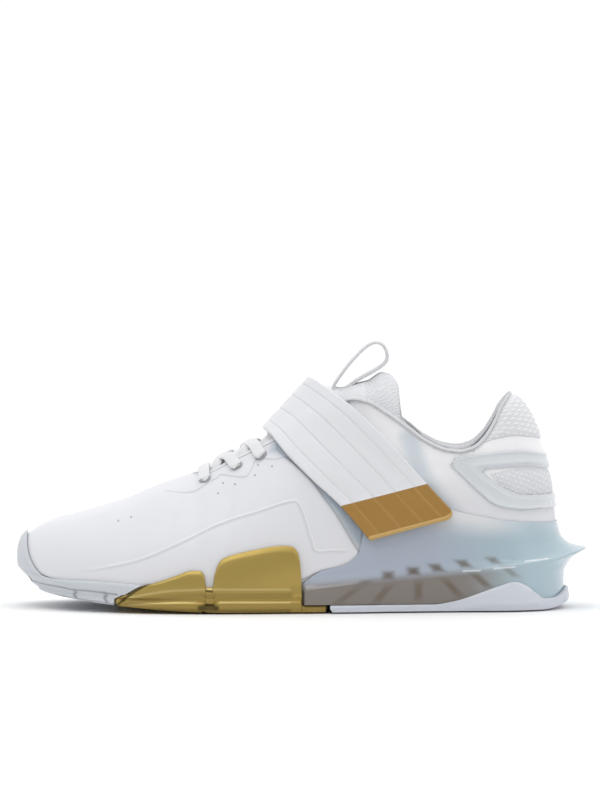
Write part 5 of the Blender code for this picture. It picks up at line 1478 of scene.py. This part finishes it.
class Sole(Piece):
    """The three pieces of rubber: the pale toe, the gold middle with its wings, and the heel."""

    BUMPER_HEIGHT, WING_HEIGHT, HEEL_HEIGHT = 0.0385, 0.0349, 0.0153
    SPLIT_LOW, SPLIT_HIGH, SPLIT_REAR, SPLIT_GAP = 0.177, 0.237, 0.566, 0.004
    SEAM, SEAM_REACH = 0.0018, 0.090
    TREAD, TREAD_RUN, TREAD_SLOPE, TREAD_DEPTH = (0.096, 0.134, 0.340), 0.006, 0.001, 0.0012
    BUMPER = table(
        "station height",
        (0.000, 1.000), (0.006, 0.930), (0.012, 0.800), (0.020, 0.650), (0.030, 0.530), (0.042, 0.455),
        (0.070, 0.422), (0.115, 0.415), (0.145, 0.410), (0.190, 0.402), (0.240, 0.392),
    )
    WING = table(
        "station height",
        (0.237, 0.433), (0.265, 0.490), (0.293, 0.560), (0.318, 0.622), (0.334, 0.622),
        (0.342, 0.560), (0.345, 0.380), (0.356, 0.380), (0.361, 0.560), (0.370, 0.740), (0.380, 0.810),
        (0.406, 0.880), (0.440, 0.940), (0.474, 0.990), (0.492, 1.000), (0.506, 0.985), (0.515, 0.900),
        (0.518, 0.720), (0.519, 0.420), (0.520, 0.097), (0.566, 0.097),
    )
    INNER_WING = table(
        "station height",
        (0.237, 0.433), (0.300, 0.440), (0.360, 0.520), (0.420, 0.627), (0.470, 0.637),
        (0.500, 0.554), (0.513, 0.388), (0.519, 0.185), (0.520, 0.097), (0.566, 0.097),
    )
    HEEL_WING = table(
        "station height",
        (0.570, 0.225), (0.757, 0.225), (0.800, 0.330), (0.853, 0.630), (0.885, 0.850), (0.912, 1.000),
        (0.930, 0.890), (0.946, 0.640), (0.962, 0.390), (0.978, 0.400), (0.990, 0.530), (1.000, 0.700),
    )
    BUMPER_SIDE = Profile(
        (1.00, 0.90, 0.78, 0.64, 0.52, 0.40, 0.26, 0.13, 0.00),
        (9.0, 9.0, 9.0, 0.0165, 0.0115, 0.0080, 0.0048, 0.0026, 0.0),
        (0.46, 0.80, 0.95, 1.00, 1.00, 0.86, 0.70, 0.98, 0.60),
    )
    WING_SIDE = Profile(
        (1.00, 0.91, 0.74, 0.58, 0.48, 0.38, 0.28, 0.17, 0.00),
        (9.0, 9.0, 9.0, 0.0138, 0.0108, 0.0086, 0.0066, 0.0045, 0.0),
        (0.46, 0.76, 0.86, 0.92, 1.08, 1.12, 0.80, 1.18, 0.85),
    )
    SEAM_LINE = Outline((-97.8, 3.4), (-93.5, 7.2), (-87.5, 11.5), (-80.5, 15.2))
    TOE_LINE = Outline((-145.0, 13.6), (-129.0, 12.0), (-121.5, 10.9), (-113.0, 10.6), (-98.0, 9.2))
    GOLD_LINE = Outline((-91.0, 7.9), (-72.0, 11.2), (-55.6, 12.2), (-40.0, 12.4), (-6.0, 12.2))
    # The dark seam, with painted shade in the notch, the groove and the lug lines.
    GROOVES = (
        Stroke(SEAM_LINE, 0.25, 0.6, 0.95),
        Stroke(Outline((-146.8, 15.4), (-145.6, 13.6)), 0.4, 0.7, 0.9),
        Stroke(TOE_LINE, 0.1, 0.6, 0.50),
        Stroke(Outline((-121.5, 10.9), (-120.0, 9.6), (-121.2, 8.4), (-119.8, 6.6)), 0.3, 0.7, 0.55),
        Stroke(Outline((-104.9, 10.0), (-103.4, 8.7), (-104.7, 7.3), (-103.3, 5.0)), 0.3, 0.7, 0.55),
        Stroke(Outline((-130.5, 7.4), (-120.5, 6.2), (-104.0, 4.4), (-98.5, 3.6)), 0.1, 0.6, 0.35),
    )
    # The dark seam; painted shade in the notch, the slot and the wide concave band under the ledge; a painted
    # shadow along the bottom edge.
    GOLD_GROOVES_AND_SHADE = (
        Stroke(SEAM_LINE, 0.25, 0.6, 0.9),
        Stroke(Outline((-92.0, 4.6), (-72.0, 7.8), (-50.0, 8.9), (-6.0, 8.9)), 0.5, 2.2, 0.30),
        Stroke(Outline((-53.2, 2.4), (-49.2, 3.0), (-45.0, 2.4)), 0.9, 1.3, 0.85, False),
        Stroke(Outline((-50.2, 11.6), (-47.2, 11.2)), 0.3, 0.6, 0.80, False),
        Stroke(Outline((-96.0, 1.6), (-60.0, 0.8), (-6.0, 0.6)), 0.2, 1.2, 0.45),
    )
    # Painted highlights along the ledge and the lower ridges of the gold rubber.
    GOLD_HIGHLIGHTS = (
        Stroke(GOLD_LINE, 0.1, 0.9, 0.55),
        Stroke(Outline((-92.0, 3.8), (-70.0, 5.1), (-56.0, 5.6)), 0.1, 0.8, 0.40),
        Stroke(Outline((-43.0, 5.6), (-25.0, 5.4), (-6.0, 5.2)), 0.1, 0.8, 0.40),
    )
    # The line of a painted highlight along the heel rubber's top edge.
    HEEL_HIGHLIGHT = Outline(
        (82.0, 5.6), (96.3, 9.6), (106.0, 13.3), (113.4, 15.2), (118.2, 13.7), (123.0, 10.9),
    )
    HEEL_SIDE = Profile(
        (1.00, 0.88, 0.60, 0.30, 0.00),
        (9.0, 9.0, 0.0062, 0.0032, 0.0),
        (0.40, 0.90, 1.15, 1.45, 1.00),
        10,
    )
    TOE = Rubber(
        "toe_rubber", "outsole_forefoot", "pale_rubber", (BUMPER, BUMPER), BUMPER_HEIGHT, BUMPER_SIDE,
        (0.0, 0.3 * MM), GROOVES,
    )
    MIDDLE = Rubber(
        "gold_midfoot", "outsole_midfoot", "gold_rubber", (WING, INNER_WING), WING_HEIGHT, WING_SIDE,
        (0.3 * MM, 0.3 * MM), GOLD_GROOVES_AND_SHADE, GOLD_HIGHLIGHTS,
    )
    HEEL = Rubber(
        "heel_rubber", "outsole_heel", "heel_rubber", (HEEL_WING, HEEL_WING), HEEL_HEIGHT, HEEL_SIDE,
        (0.3 * MM, 0.0), (), (Stroke(HEEL_HIGHLIGHT, 0.1, 1.0, 0.6),),
    )

    def seam_lean(self, s: Array, z: Array) -> Array:
        """How far a station moves forwards near the slanted seam, for a height above the floor."""
        low, high = self.last.plate_top(self.SPLIT_LOW), self.BUMPER_HEIGHT * self.BUMPER["height"][-1]
        below = np.clip((high - z) / (high - low), 0, 1)
        ahead = np.clip(1 - (self.SPLIT_HIGH - s) / self.SEAM_REACH, 0, 1)
        behind = np.clip(1 - (s - self.SPLIT_HIGH) / self.SEAM_REACH, 0, 1)
        return (self.SPLIT_HIGH - self.SPLIT_LOW) * below * np.minimum(ahead, behind)

    def tread(self, u: Array) -> Array:
        """How deep the cross grooves cut into the underside, with sloped sides."""
        depth = np.zeros(np.shape(u))
        half, slope = self.TREAD_RUN / 2, self.TREAD_SLOPE
        for groove in self.TREAD:
            depth = np.maximum(depth, 1 - smoothstep(half - slope, half + slope, np.abs(u - groove)))
        return depth * self.TREAD_DEPTH

    def side_rows(
        self, rubber: Rubber, stations: Array, side: Side, base: Array, wall: float
    ) -> tuple[Array, Array, Array]:
        """The outer and inner grids of one side, from its lip to its ground edge.

        Args:
            rubber: The piece.
            stations: Stations before the seam's lean.
            side: The side of the shoe.
            base: How far out of the last the piece starts, at each station.
            wall: The rubber's thickness.

        Returns:
            Outer points, inner points and heights above the ground.
        """
        last, s, profile = self.last, self.sizes, rubber.side
        lip = dict(zip(Side, rubber.lips))[side]
        count = len(profile.share)
        at = np.linspace(0, count - 1, (count - 1) * profile.steps + 1)
        share, limit = np.array(profile.share), np.array(profile.limit)
        thickness = resample(np.array(profile.thickness), at)[None]
        top = (curve(lip, "height", stations) * rubber.height)[:, None]
        station = np.broadcast_to(stations[:, None], (len(stations), len(at)))
        u = station
        for _ in range(6):
            low = last.ground(u)
            edge = np.maximum(top, last.plate_top(u))
            tall = (edge - low).mean(axis=1, keepdims=True)
            knots = np.minimum(limit[None], tall * share[None])
            rise = np.stack([np.interp(at, np.arange(count), row) for row in knots])
            u = station - self.seam_lean(station, low + rise)
        relief = (thickness - 1) * smoothstep(s.plate, 3 * s.plate, edge - low)
        below = np.clip(1 - rise / s.toe_corner_rise, 0, 1)
        inset = s.toe_corner_inset * last.toe_share(u) * below**1.3
        outer = last.sole_wall(u, low + rise, side, base[:, None] + wall * (1 + relief) - inset)
        under = np.minimum(last.station(outer[:, -1, 0]), np.maximum(u[:, -1], 0.9))
        outer[:, -1, 2] = last.ground(under) + self.tread(u[:, -1])
        inner = last.sole_wall(u, np.maximum(low + rise, last.plate_top(u)), side, base[:, None] + 0 * u)
        return outer, inner, rise

    def drawn(self, place: Array, strokes: tuple[Stroke, ...]) -> Array:
        """The share of each point that lies on drawn lines: the strongest of all of them."""
        shares = [np.zeros(place.shape[:2])]
        for stroke in strokes:
            share = 1 - smoothstep(stroke.half, stroke.half + stroke.soft, stroke.line.distance(place))
            here = True if stroke.both else place[..., 1] < 0
            shares.append(stroke.strength * share * here)
        return np.max(shares, axis=0)

    def trough(self, rubber: Rubber, stations: Array, out: float, wall: float, finish: Material) -> None:
        """Makes one piece.

        Args:
            rubber: The piece.
            stations: Stations before the seam's lean.
            out: How far it starts outside the last, or outside the upper's shell.
            wall: The rubber's thickness.
            finish: Its material.
        """
        base = self.last.shell_out(stations) + out
        sides = [self.side_rows(rubber, stations, side, base, wall) for side in Side]
        t = np.linspace(0, 1, 20)[1:-1][None, :, None]
        sheets = []
        for face in (0, 1):
            left, right = sides[0][face], sides[1][face]
            floor = left[:, -1:] * (1 - t) + right[:, -1:] * t
            sheets.append(np.concatenate([left, floor, right[:, ::-1]], axis=1))
        count = sides[0][2].shape[1]
        under = np.zeros(sheets[0].shape[:2])
        under[:, count:-count] = 1.0
        rise = np.concatenate([sides[0][2], 0 * under[:, count:-count], sides[1][2][:, ::-1]], axis=1)
        # Painted shade near the ground: the low mask is strongest at the bottom and gone 12 mm up.
        low = (1 - smoothstep(0.0, 12 * MM, rise)) * 0.6
        slab = Slab(sheets[0], sheets[1], (0.7 * MM, 0.7 * MM), rubber.ends)
        lines = {"groove": rubber.grooves_and_shade, "edge": rubber.edges}
        drawn = {mask: self.drawn(sheets[0], strokes) * (1 - under) for mask, strokes in lines.items()}
        surface = slab.surface(masks={"under": under, "low": low, **drawn})
        self.place(surface.build(rubber.name, [finish, finish], sharp=0.8), (rubber.node,), rubber.slot)

    def build(self, pale: Material, gold: Material, heel: Material) -> None:
        """Makes the toe, the middle and the heel, each in its own rubber."""
        s = self.sizes
        fore = chain(run(0, 0.09, 70, Dense.START), run(0.09, self.SPLIT_HIGH - self.SEAM / 2, 90))
        middle = chain(
            run(self.SPLIT_HIGH + self.SEAM / 2, 0.332, 50), run(0.332, 0.372, 60), run(0.372, 0.50, 80),
            run(0.50, 0.524, 60), run(0.524, self.SPLIT_REAR, 12),
        )
        rear = chain(
            run(self.SPLIT_REAR + self.SPLIT_GAP, 0.757, 50), run(0.757, 0.962, 110),
            run(0.962, 1, 60, Dense.END),
        )
        self.trough(self.TOE, fore, s.clearance, s.rubber_wall, pale)
        self.trough(self.MIDDLE, middle, s.clearance, s.rubber_wall, gold)
        self.trough(self.HEEL, rear, 1.08 * s.clearance + s.clip_wall, s.heel_rubber, heel)


class Counter(Piece):
    """The glossy film ring round the knit window at the heel."""

    TOP, THICKNESS = 0.0848, 0.0008
    LOWER = table(
        "outer outer_height inner inner_height",
        (0.850, 0.910, 0.907, 0.866), (0.865, 0.820, 0.914, 0.822), (0.881, 0.732, 0.924, 0.780),
        (0.899, 0.662, 0.944, 0.728), (0.936, 0.630, 0.966, 0.720), (0.972, 0.630, 0.982, 0.719),
        (0.993, 0.630, 0.994, 0.719), (1.000, 0.630, 1.000, 0.719),
    )
    UPPER = table(
        "outer outer_height inner inner_height",
        (0.872, 0.955, 0.916, 0.886), (0.925, 0.980, 0.946, 0.894), (0.962, 0.998, 0.970, 0.896),
        (0.982, 0.988, 0.985, 0.888), (0.994, 0.975, 0.994, 0.880), (1.000, 0.970, 1.000, 0.878),
    )

    def half(self, rows: dict[str, Array], side: Side, out: float, upper: Upper) -> Array:
        """Half of the band on one side: lines from its outer edge to its inner edge."""
        at = chain(run(0, 0.55, 40), run(0.55, 1.0, 50, Dense.END))
        known = np.linspace(0, 1, len(rows["outer"]))
        share = np.linspace(0, 1, 17)[None]
        places = []
        for name in ("outer", "inner"):
            u = resample(rows[name], at * (len(known) - 1))
            z = resample(rows[name + "_height"], at * (len(known) - 1)) * self.TOP
            places.append((u, z))
        u = places[0][0][:, None] * (1 - share) + places[1][0][:, None] * share
        z = places[0][1][:, None] * (1 - share) + places[1][1][:, None] * share
        v = self.last.level_at(u, z, side)
        base = self.last.rib(u, v, side)
        relief = upper.relief(upper.masks(base, u, v), base, u, v)
        welts = 0.0005 * (hill(share, 0.10, 0.14) + 0.8 * hill(share, 0.70, 0.20))
        return self.last.wall(u, v, side, out + relief + (welts if out > self.THICKNESS else 0.0))

    def build(self, finish: Material, upper: Upper) -> None:
        """Makes the ring from four half bands, joined end to end."""
        sheets = []
        clear = 0.5 * self.sizes.clearance
        for out in (clear + self.THICKNESS, clear):
            lower = [self.half(self.LOWER, side, out, upper) for side in Side]
            above = [self.half(self.UPPER, side, out, upper) for side in Side]
            sheets.append(np.concatenate([lower[0], lower[1][-2::-1], above[1], above[0][-2::-1]]))
        across = np.linspace(0, 1, 17)[None] + 0 * sheets[0][..., 0]
        rim = np.maximum(1 - smoothstep(0.03, 0.09, across), smoothstep(0.91, 0.97, across))
        slab = Slab(sheets[0], sheets[1], (0.8 * MM, 0.8 * MM), wrap=True)
        bevel = smoothstep(0.74, 0.84, across) * 0.20
        made = slab.surface(masks={"rim": np.maximum(rim * 0.35, bevel)}).build("heel_film", [finish, finish])
        self.place(made, ("heel_counter",), "film")


@dataclass(frozen=True)
class LaceSizes:
    """The lace, its eyelets and their places."""

    rows: tuple[float, ...] = (0.357, 0.422, 0.471)
    level: float = 0.860
    radius: float = 0.0034
    hole: float = 0.0018
    thickness: float = 0.0008
    width: float = 0.0066
    depth: float = 0.0018
    rim_rise: float = 0.0016
    past: float = 0.0016


class Lacing(Piece):
    """The lace, which bars the front row and crosses twice, and the ring at each eyelet."""

    def __init__(self, last: Last, tongue: Tongue) -> None:
        """Keeps the tongue too, which the lace lies on."""
        super().__init__(last)
        self.tongue = tongue

    def frame_at(self, station: float, side: Side) -> tuple[Array, Array, Array]:
        """The centre, normal and direction along the eyestay of one eyelet."""
        at = (np.array([station]), np.array([LaceSizes.level]))
        centre = self.last.wall(*at, side, np.array([UpperSizes.stay_step]))[0]
        normal = self.last.outward(*at, side)[0]
        ahead = self.last.rib(at[0] + 0.01, at[1], side)[0] - self.last.rib(at[0] - 0.01, at[1], side)[0]
        return centre, normal, unit(ahead - normal * np.dot(ahead, normal))

    def eyelet(self, name: str, node: str, station: float, side: Side, ring: Material,
               dark: Material) -> None:
        """Makes one ring: a rounded section turned about the eyelet's normal, with a near-black disc in the
        hole as painted shadow.

        Args:
            name: The piece's name.
            node: The node that it stands for.
            station: The eyelet's station.
            side: Its side.
            ring: The ring's finish.
            dark: The near-black finish inside the hole, a painted shadow.
        """
        size = LaceSizes
        centre, normal, along = self.frame_at(station, side)
        across = np.cross(normal, along)
        angle = np.linspace(0, 2 * np.pi, 40, endpoint=False)
        middle, half = (size.radius + size.hole) / 2, (size.radius - size.hole) / 2
        turn = np.linspace(0, np.pi, 13)
        reach = np.concatenate([middle + half * np.cos(turn), [size.hole * 0.92, size.hole * 0.5, 0.0]])
        height = np.concatenate([size.thickness * (0.2 + 1.1 * np.sin(turn)), [0.0, -0.0001, -0.0001]])
        reach = np.concatenate([reach, [0.0, size.radius]])
        height = np.concatenate([height, [-0.0008, -0.0008]])
        circle = np.cos(angle)[:, None] * along + np.sin(angle)[:, None] * across
        points = centre + circle[:, None] * reach[None, :, None] + normal * height[None, :, None]
        faces = grid_faces(40, len(reach), True, True)
        row = np.tile(np.arange(len(reach)), 40)
        # The faces that close the hole take the dark finish: a painted shadow.
        slots = ((row >= 12) & (row <= 15)).astype(int)
        uv = np.stack(np.broadcast_arrays(angle[:, None] * middle, reach[None]), axis=-1).reshape(-1, 2)
        surface = Surface(points.reshape(-1, 3), faces, uv, {}, slots)
        self.place(surface.build(name, [ring, dark]), (node,), "ring")

    def path(self, start: tuple[float, Side], end: tuple[float, Side], lift: float, tucked: bool) -> Array:
        """One span over the tongue's crown, down over the rim and into an eyelet.

        Args:
            start: The station and side that it comes from.
            end: The station and side of the eyelet that it goes to.
            lift: How far it rides above the crown, in metres.
            tucked: Whether it comes out from under the eyestay, or else out of an eyelet.

        Returns:
            The points of its middle line.
        """
        size, s = LaceSizes, self.sizes
        points = []
        for t in np.linspace(0, 1, 13):
            station = start[0] + (end[0] - start[0]) * t
            u = np.array([station])
            side = start[1] if t < 0.5 else end[1]
            w = abs(2 * t - 1)
            crown = self.tongue.grid(u, s.clearance + size.depth * 0.55 + lift)[0][6]
            rim = self.last.wall(u, np.ones(1), side, np.zeros(1))[0]
            eyelet, normal, _ = self.frame_at(station, side)
            low, high = (self.last.rib(u, np.full(1, size.level - drop), side)[0] for drop in (0.02, 0.0))
            foot = eyelet + normal * (size.thickness + size.depth * 0.55) + unit(low - high) * size.past
            rim[2] += size.rim_rise + size.depth / 2
            if tucked and t < 0.5:
                rim = self.last.wall(u, np.ones(1), side, np.array([-s.wall]))[0]
                foot = self.last.wall(u, np.full(1, 0.93), side, np.array([-s.wall]))[0]
            if w > 0.62:
                points.append(rim + (foot - rim) * (w - 0.62) / 0.38)
            else:
                share = w / 0.62
                point = crown + (rim - crown) * share
                point[2] = rim[2] + (max(crown[2], rim[2] + 0.0008) - rim[2]) * (1 - share**2) ** 0.8
                points.append(point)
        eyelet, normal, _ = self.frame_at(*end)
        points.append(eyelet - normal * 0.0012 + (points[-1] - eyelet) * 0.5)
        if not tucked:
            eyelet, normal, _ = self.frame_at(*start)
            points.insert(0, eyelet - normal * 0.0012 + (points[0] - eyelet) * 0.5)
        return np.array(points)

    def lace(self, name: str, path: Array, finish: Material, nodes: tuple[str, ...]) -> None:
        """Sweeps a flat rounded section along a path, narrowed where it dives into an eyelet."""
        size = LaceSizes
        path = resample(path, np.linspace(0, len(path) - 1, 121))
        up = np.zeros_like(path) + np.array([-0.45, 0.0, 0.9])
        up[:, 1] += (path[:, 1] - self.last.spine(0.41)) * 22
        across, up = carried(path, up)
        far = along_rows(path[:, None], 0)[:, 0]
        near = np.minimum(far, far[-1] - far)
        narrow = 0.62 + 0.38 * smoothstep(1.0 * MM, 4.0 * MM, near)
        angle = np.linspace(0, 2 * np.pi, 20, endpoint=False)
        wide = np.sign(np.cos(angle)) * np.abs(np.cos(angle)) ** 0.8 * size.width / 2
        thick = np.sign(np.sin(angle)) * np.abs(np.sin(angle)) ** 0.7 * size.depth / 2
        points = path[:, None] + across[:, None] * (wide[None] * narrow[:, None])[..., None]
        points = points + up[:, None] * thick[None, :, None]
        caps = [np.repeat(path[i][None, None], 20, axis=1) for i in (0, -1)]
        points = np.concatenate([caps[0], points, caps[1]])
        far = np.concatenate([far[:1], far, far[-1:]])
        uv = np.stack(np.broadcast_arrays(far[:, None], wide[None]), axis=-1).reshape(-1, 2)
        faces = grid_faces(len(points), 20, False, True)
        self.place(Surface(points.reshape(-1, 3), faces, uv).build(name, [finish]), nodes, "lace_cloth")

    def build(self, cloth: Material, ring: Material, dark: Material) -> None:
        """Makes the six rings and the five spans.

        Args:
            cloth: The lace's finish.
            ring: The rings' finish.
            dark: The near-black finish inside the holes, a painted shadow.
        """
        one, two, three = LaceSizes.rows
        for side, word in ((Side.LATERAL, "outer"), (Side.MEDIAL, "inner")):
            for i, station in enumerate(LaceSizes.rows):
                self.eyelet(f"ring_{word}_{i + 1}", f"eyelet_{word}_{i + 1}", station, side, ring, dark)
        left, right = Side.LATERAL, Side.MEDIAL
        spans = (
            ((one, left), (one, right), 0.0), ((one + 0.006, left), (two, right), 0.0008),
            ((one + 0.006, right), (two, left), 0.0), ((two + 0.006, left), (three, right), 0.0),
            ((two + 0.006, right), (three, left), 0.0008),
        )
        for i, (start, end, lift) in enumerate(spans):
            nodes = ("lace",) if i == 0 else ()
            self.lace(f"lace_span_{i + 1}", self.path(start, end, lift, i > 0), cloth, nodes)


class PullLoop(Piece):
    """The webbing loop that stands on the tongue's top."""

    TOP, WIDTH, THICKNESS = 0.1428, 0.0130, 0.0020
    PATH = table(
        "station height",
        (0.5800, 0.8230), (0.6000, 0.8880), (0.6190, 0.9340), (0.6390, 0.9740), (0.6560, 0.9930),
        (0.6710, 0.9870), (0.6795, 0.9605), (0.6805, 0.9300), (0.6710, 0.9060), (0.6510, 0.8810),
        (0.6260, 0.8530), (0.6000, 0.8180),
    )

    def build(self, finish: Material) -> None:
        """Sweeps a flat band round a smooth closed line."""
        last = self.last
        x = last.toe_x + self.sizes.length * self.PATH["station"]
        rows = np.stack([x, np.full_like(x, last.spine(0.62)), self.TOP * self.PATH["height"]], axis=-1)
        ring = np.concatenate([rows[-2:], rows, rows[:3]])
        path = resample(ring, 2 + np.linspace(0, len(rows), 145)[:-1])
        along = unit(np.roll(path, -1, axis=0) - np.roll(path, 1, axis=0))
        normal = np.cross(along, np.array([0.0, 1.0, 0.0]))
        t = run(-1, 1, 22, Dense.BOTH)
        across = t[None, :, None] * np.array([0.0, self.WIDTH / 2, 0.0])
        middle = path[:, None] + across
        half = normal[:, None] * self.THICKNESS / 2 * 0.8
        slab = Slab(middle + half, middle - half, (0.9 * MM, 0.9 * MM), wrap=True)
        rim = np.broadcast_to(smoothstep(0.72, 0.80, np.abs(t)), middle.shape[:2])
        made = slab.surface(masks={"rim": rim}).build("loop_webbing", [finish, finish])
        self.place(made, ("pull_loop",), "webbing")


class Studio:
    """A pale floor, soft light from all round and a long lens at the height of the shoe."""

    AIM = (-0.0005, 0.0, 0.1108)
    DISTANCE, ELEVATION, LENS, SENSOR = 3.0, 2.5, 166.7, 24.0
    FLOOR_DROP, FLOOR_POINTS, FADE = 0.0009, 40, (0.30, 0.75)
    FRONT, BEHIND, TURN, RISE = 0.37, 1.02, (-0.70, 0.60), 0.9
    LIGHTS = (
        ("key", (-0.5, -1.1, 2.2), 1.2, 9.0),
        ("fill", (1.6, -1.3, 1.0), 1.4, 2.6),
        ("top", (0.2, 0.3, 2.2), 1.6, 7.0),
    )

    def floor(self) -> None:
        """Makes the floor, a wide grid whose far edge fades into the background."""
        n = self.FLOOR_POINTS
        x, y = np.meshgrid(np.linspace(-1, 1, n), np.linspace(-1, 1, n), indexing="ij")
        points = np.stack([x, y, np.full_like(x, -self.FLOOR_DROP)], axis=-1).reshape(-1, 3)
        mesh = bpy.data.meshes.new("floor")
        mesh.from_pydata(points.tolist(), [], grid_faces(n, n, False, False)[:, ::-1].tolist())
        paint = Paint("pale floor")
        place = paint.object_place()
        colour = paint.mix(paint.noise(place, 4.0) * 0.1, (0.95, 0.95, 0.95), (0.93, 0.93, 0.93))
        near = paint.ramp(paint.vector("LENGTH", place, out=1), *self.FADE, 1.0, 0.0)
        mesh.materials.append(paint.done(Base_Color=colour, Roughness=0.9, Alpha=near))
        made = bpy.data.objects.new("floor", mesh)
        bpy.context.scene.collection.objects.link(made)

    def light(self, name: str, place: Colour, size: float, power: float) -> None:
        """Adds a square area light that faces the shoe."""
        data = bpy.data.lights.new(name, "AREA")
        data.size, data.energy, data.shape = size, power, "SQUARE"
        made = bpy.data.objects.new(name, data)
        made.location = place
        away = np.array(place) - np.array([0.0, 0.0, 0.05])
        made.rotation_euler = (
            math.atan2(math.hypot(away[0], away[1]), away[2]), 0.0, math.atan2(away[0], -away[1]),
        )
        bpy.context.scene.collection.objects.link(made)

    def surroundings(self) -> None:
        """Makes the world: white behind the shoe and above it, and dimmer in front of it."""
        paint = Paint("white surroundings", world=True)
        _, y, z = paint.parts(paint.output(paint.node("ShaderNodeTexCoord"), "Generated"))
        strength = paint.ramp(z * self.RISE + y, *self.TURN, self.FRONT, self.BEHIND)
        light = paint.node("ShaderNodeBackground", Color=(1.0, 1.0, 1.0, 1.0), Strength=strength)
        paint.node("ShaderNodeOutputWorld", Surface=paint.output(light))
        bpy.context.scene.world = paint.data

    def build(self) -> None:
        """Makes the floor, the lights, the white surroundings and the camera."""
        self.floor()
        for light in self.LIGHTS:
            self.light(*light)
        self.surroundings()
        bpy.context.scene.view_settings.view_transform = "Standard"
        data = bpy.data.cameras.new("camera")
        data.sensor_fit, data.sensor_height, data.lens = "VERTICAL", self.SENSOR, self.LENS
        data.clip_end = 50.0
        made = bpy.data.objects.new("camera", data)
        tilt = math.radians(self.ELEVATION)
        away = np.array([0.0, -math.cos(tilt), math.sin(tilt)])
        made.location = np.array(self.AIM) + self.DISTANCE * away
        made.rotation_euler = (math.pi / 2 - tilt, 0.0, 0.0)
        bpy.context.scene.collection.objects.link(made)
        bpy.context.scene.camera = made


def main() -> None:
    """Builds the shoe's pieces in order, then the studio."""
    last = Last(LastSizes())
    upper, clip, tongue = Upper(last), Clip(last), Tongue(last)
    lining = ClothFinish("lining", (0.74, 0.75, 0.77), pitch=1.4 * MM)
    knit = ClothFinish(
        "white knit", (0.92, 0.93, 0.95), (0.66, 0.68, 0.71), 1.7 * MM, math.radians(30), 0.3 * MM,
    )
    cord = ClothFinish(
        "collar cord", (0.90, 0.90, 0.92), (0.60, 0.61, 0.64), 1.0 * MM, math.radians(50), 0.2 * MM,
    )
    cloth = ClothFinish("tongue cloth", (0.92, 0.92, 0.94), (0.80, 0.81, 0.84), 0.9 * MM)
    pale = RubberFinish("pale rubber", (0.60, 0.63, 0.67), (0.62, 0.64, 0.69))
    # Gold rubber: its low colour is painted shade near the ground, its groove colour dark seams and painted
    # shade, and its edge colour painted highlights.
    gold = RubberFinish(
        "gold rubber", (0.49, 0.355, 0.10), (0.26, 0.18, 0.05), 0.36, 0.70, 0.0, (0.06, 0.045, 0.012),
        (0.80, 0.66, 0.30),
    )
    # Heel rubber: its low colour is painted shade near the ground.
    heel = RubberFinish("heel rubber", (0.68, 0.71, 0.77), (0.60, 0.63, 0.70), 0.34)
    strap = ClothFinish(
        "strap cloth", (0.865, 0.868, 0.895), (0.74, 0.75, 0.78), 0.8 * MM, 0.0, 0.05 * MM, 0.5, 0.05,
    )
    tab = FilmFinish("gold tab", (0.43, 0.235, 0.055), (0.62, 0.42, 0.15), 0.40, 0.30, 0.2)
    lace = ClothFinish(
        "lace cloth", (0.88, 0.88, 0.89), (0.74, 0.75, 0.77), 0.9 * MM, math.radians(45), 0.12 * MM,
    )
    ring = FilmFinish("grey ring", (0.40, 0.41, 0.43), (0.4, 0.4, 0.4), 0.35)
    # A near-black finish that closes the eyelet holes: painted shadow.
    dark = FilmFinish("dark hole", (0.03, 0.03, 0.035), (0.03, 0.03, 0.03), 0.8, coat=0.0)
    webbing = FilmFinish("webbing", (0.84, 0.84, 0.86), (0.76, 0.77, 0.79), 0.7, coat=0.0)
    upper.build(UpperFinish().build(), lining.build())
    Piping(last).build(cord.build())
    tongue.build(cloth.build(), knit.build())
    Insole(last).build(ClothFinish("insole cloth", (0.66, 0.67, 0.69), pitch=0.9 * MM).build())
    clip.build(ClipFinish().build())
    Sole(last).build(pale.build(), gold.build(), heel.build())
    Strap(last, clip).build(strap.build(), tab.build())
    Counter(last).build(FilmFinish("clear film").build(), upper)
    Lacing(last, tongue).build(lace.build(), ring.build(), dark.build())
    PullLoop(last).build(webbing.build())
    foam = RubberFinish("midsole foam", (0.62, 0.62, 0.68), (0.55, 0.55, 0.60), 0.62).build()
    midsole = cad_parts["midsole"]
    midsole.data.materials.clear()
    midsole.data.materials.append(foam)
    Studio().build()


if __name__ == "__main__":
    main()
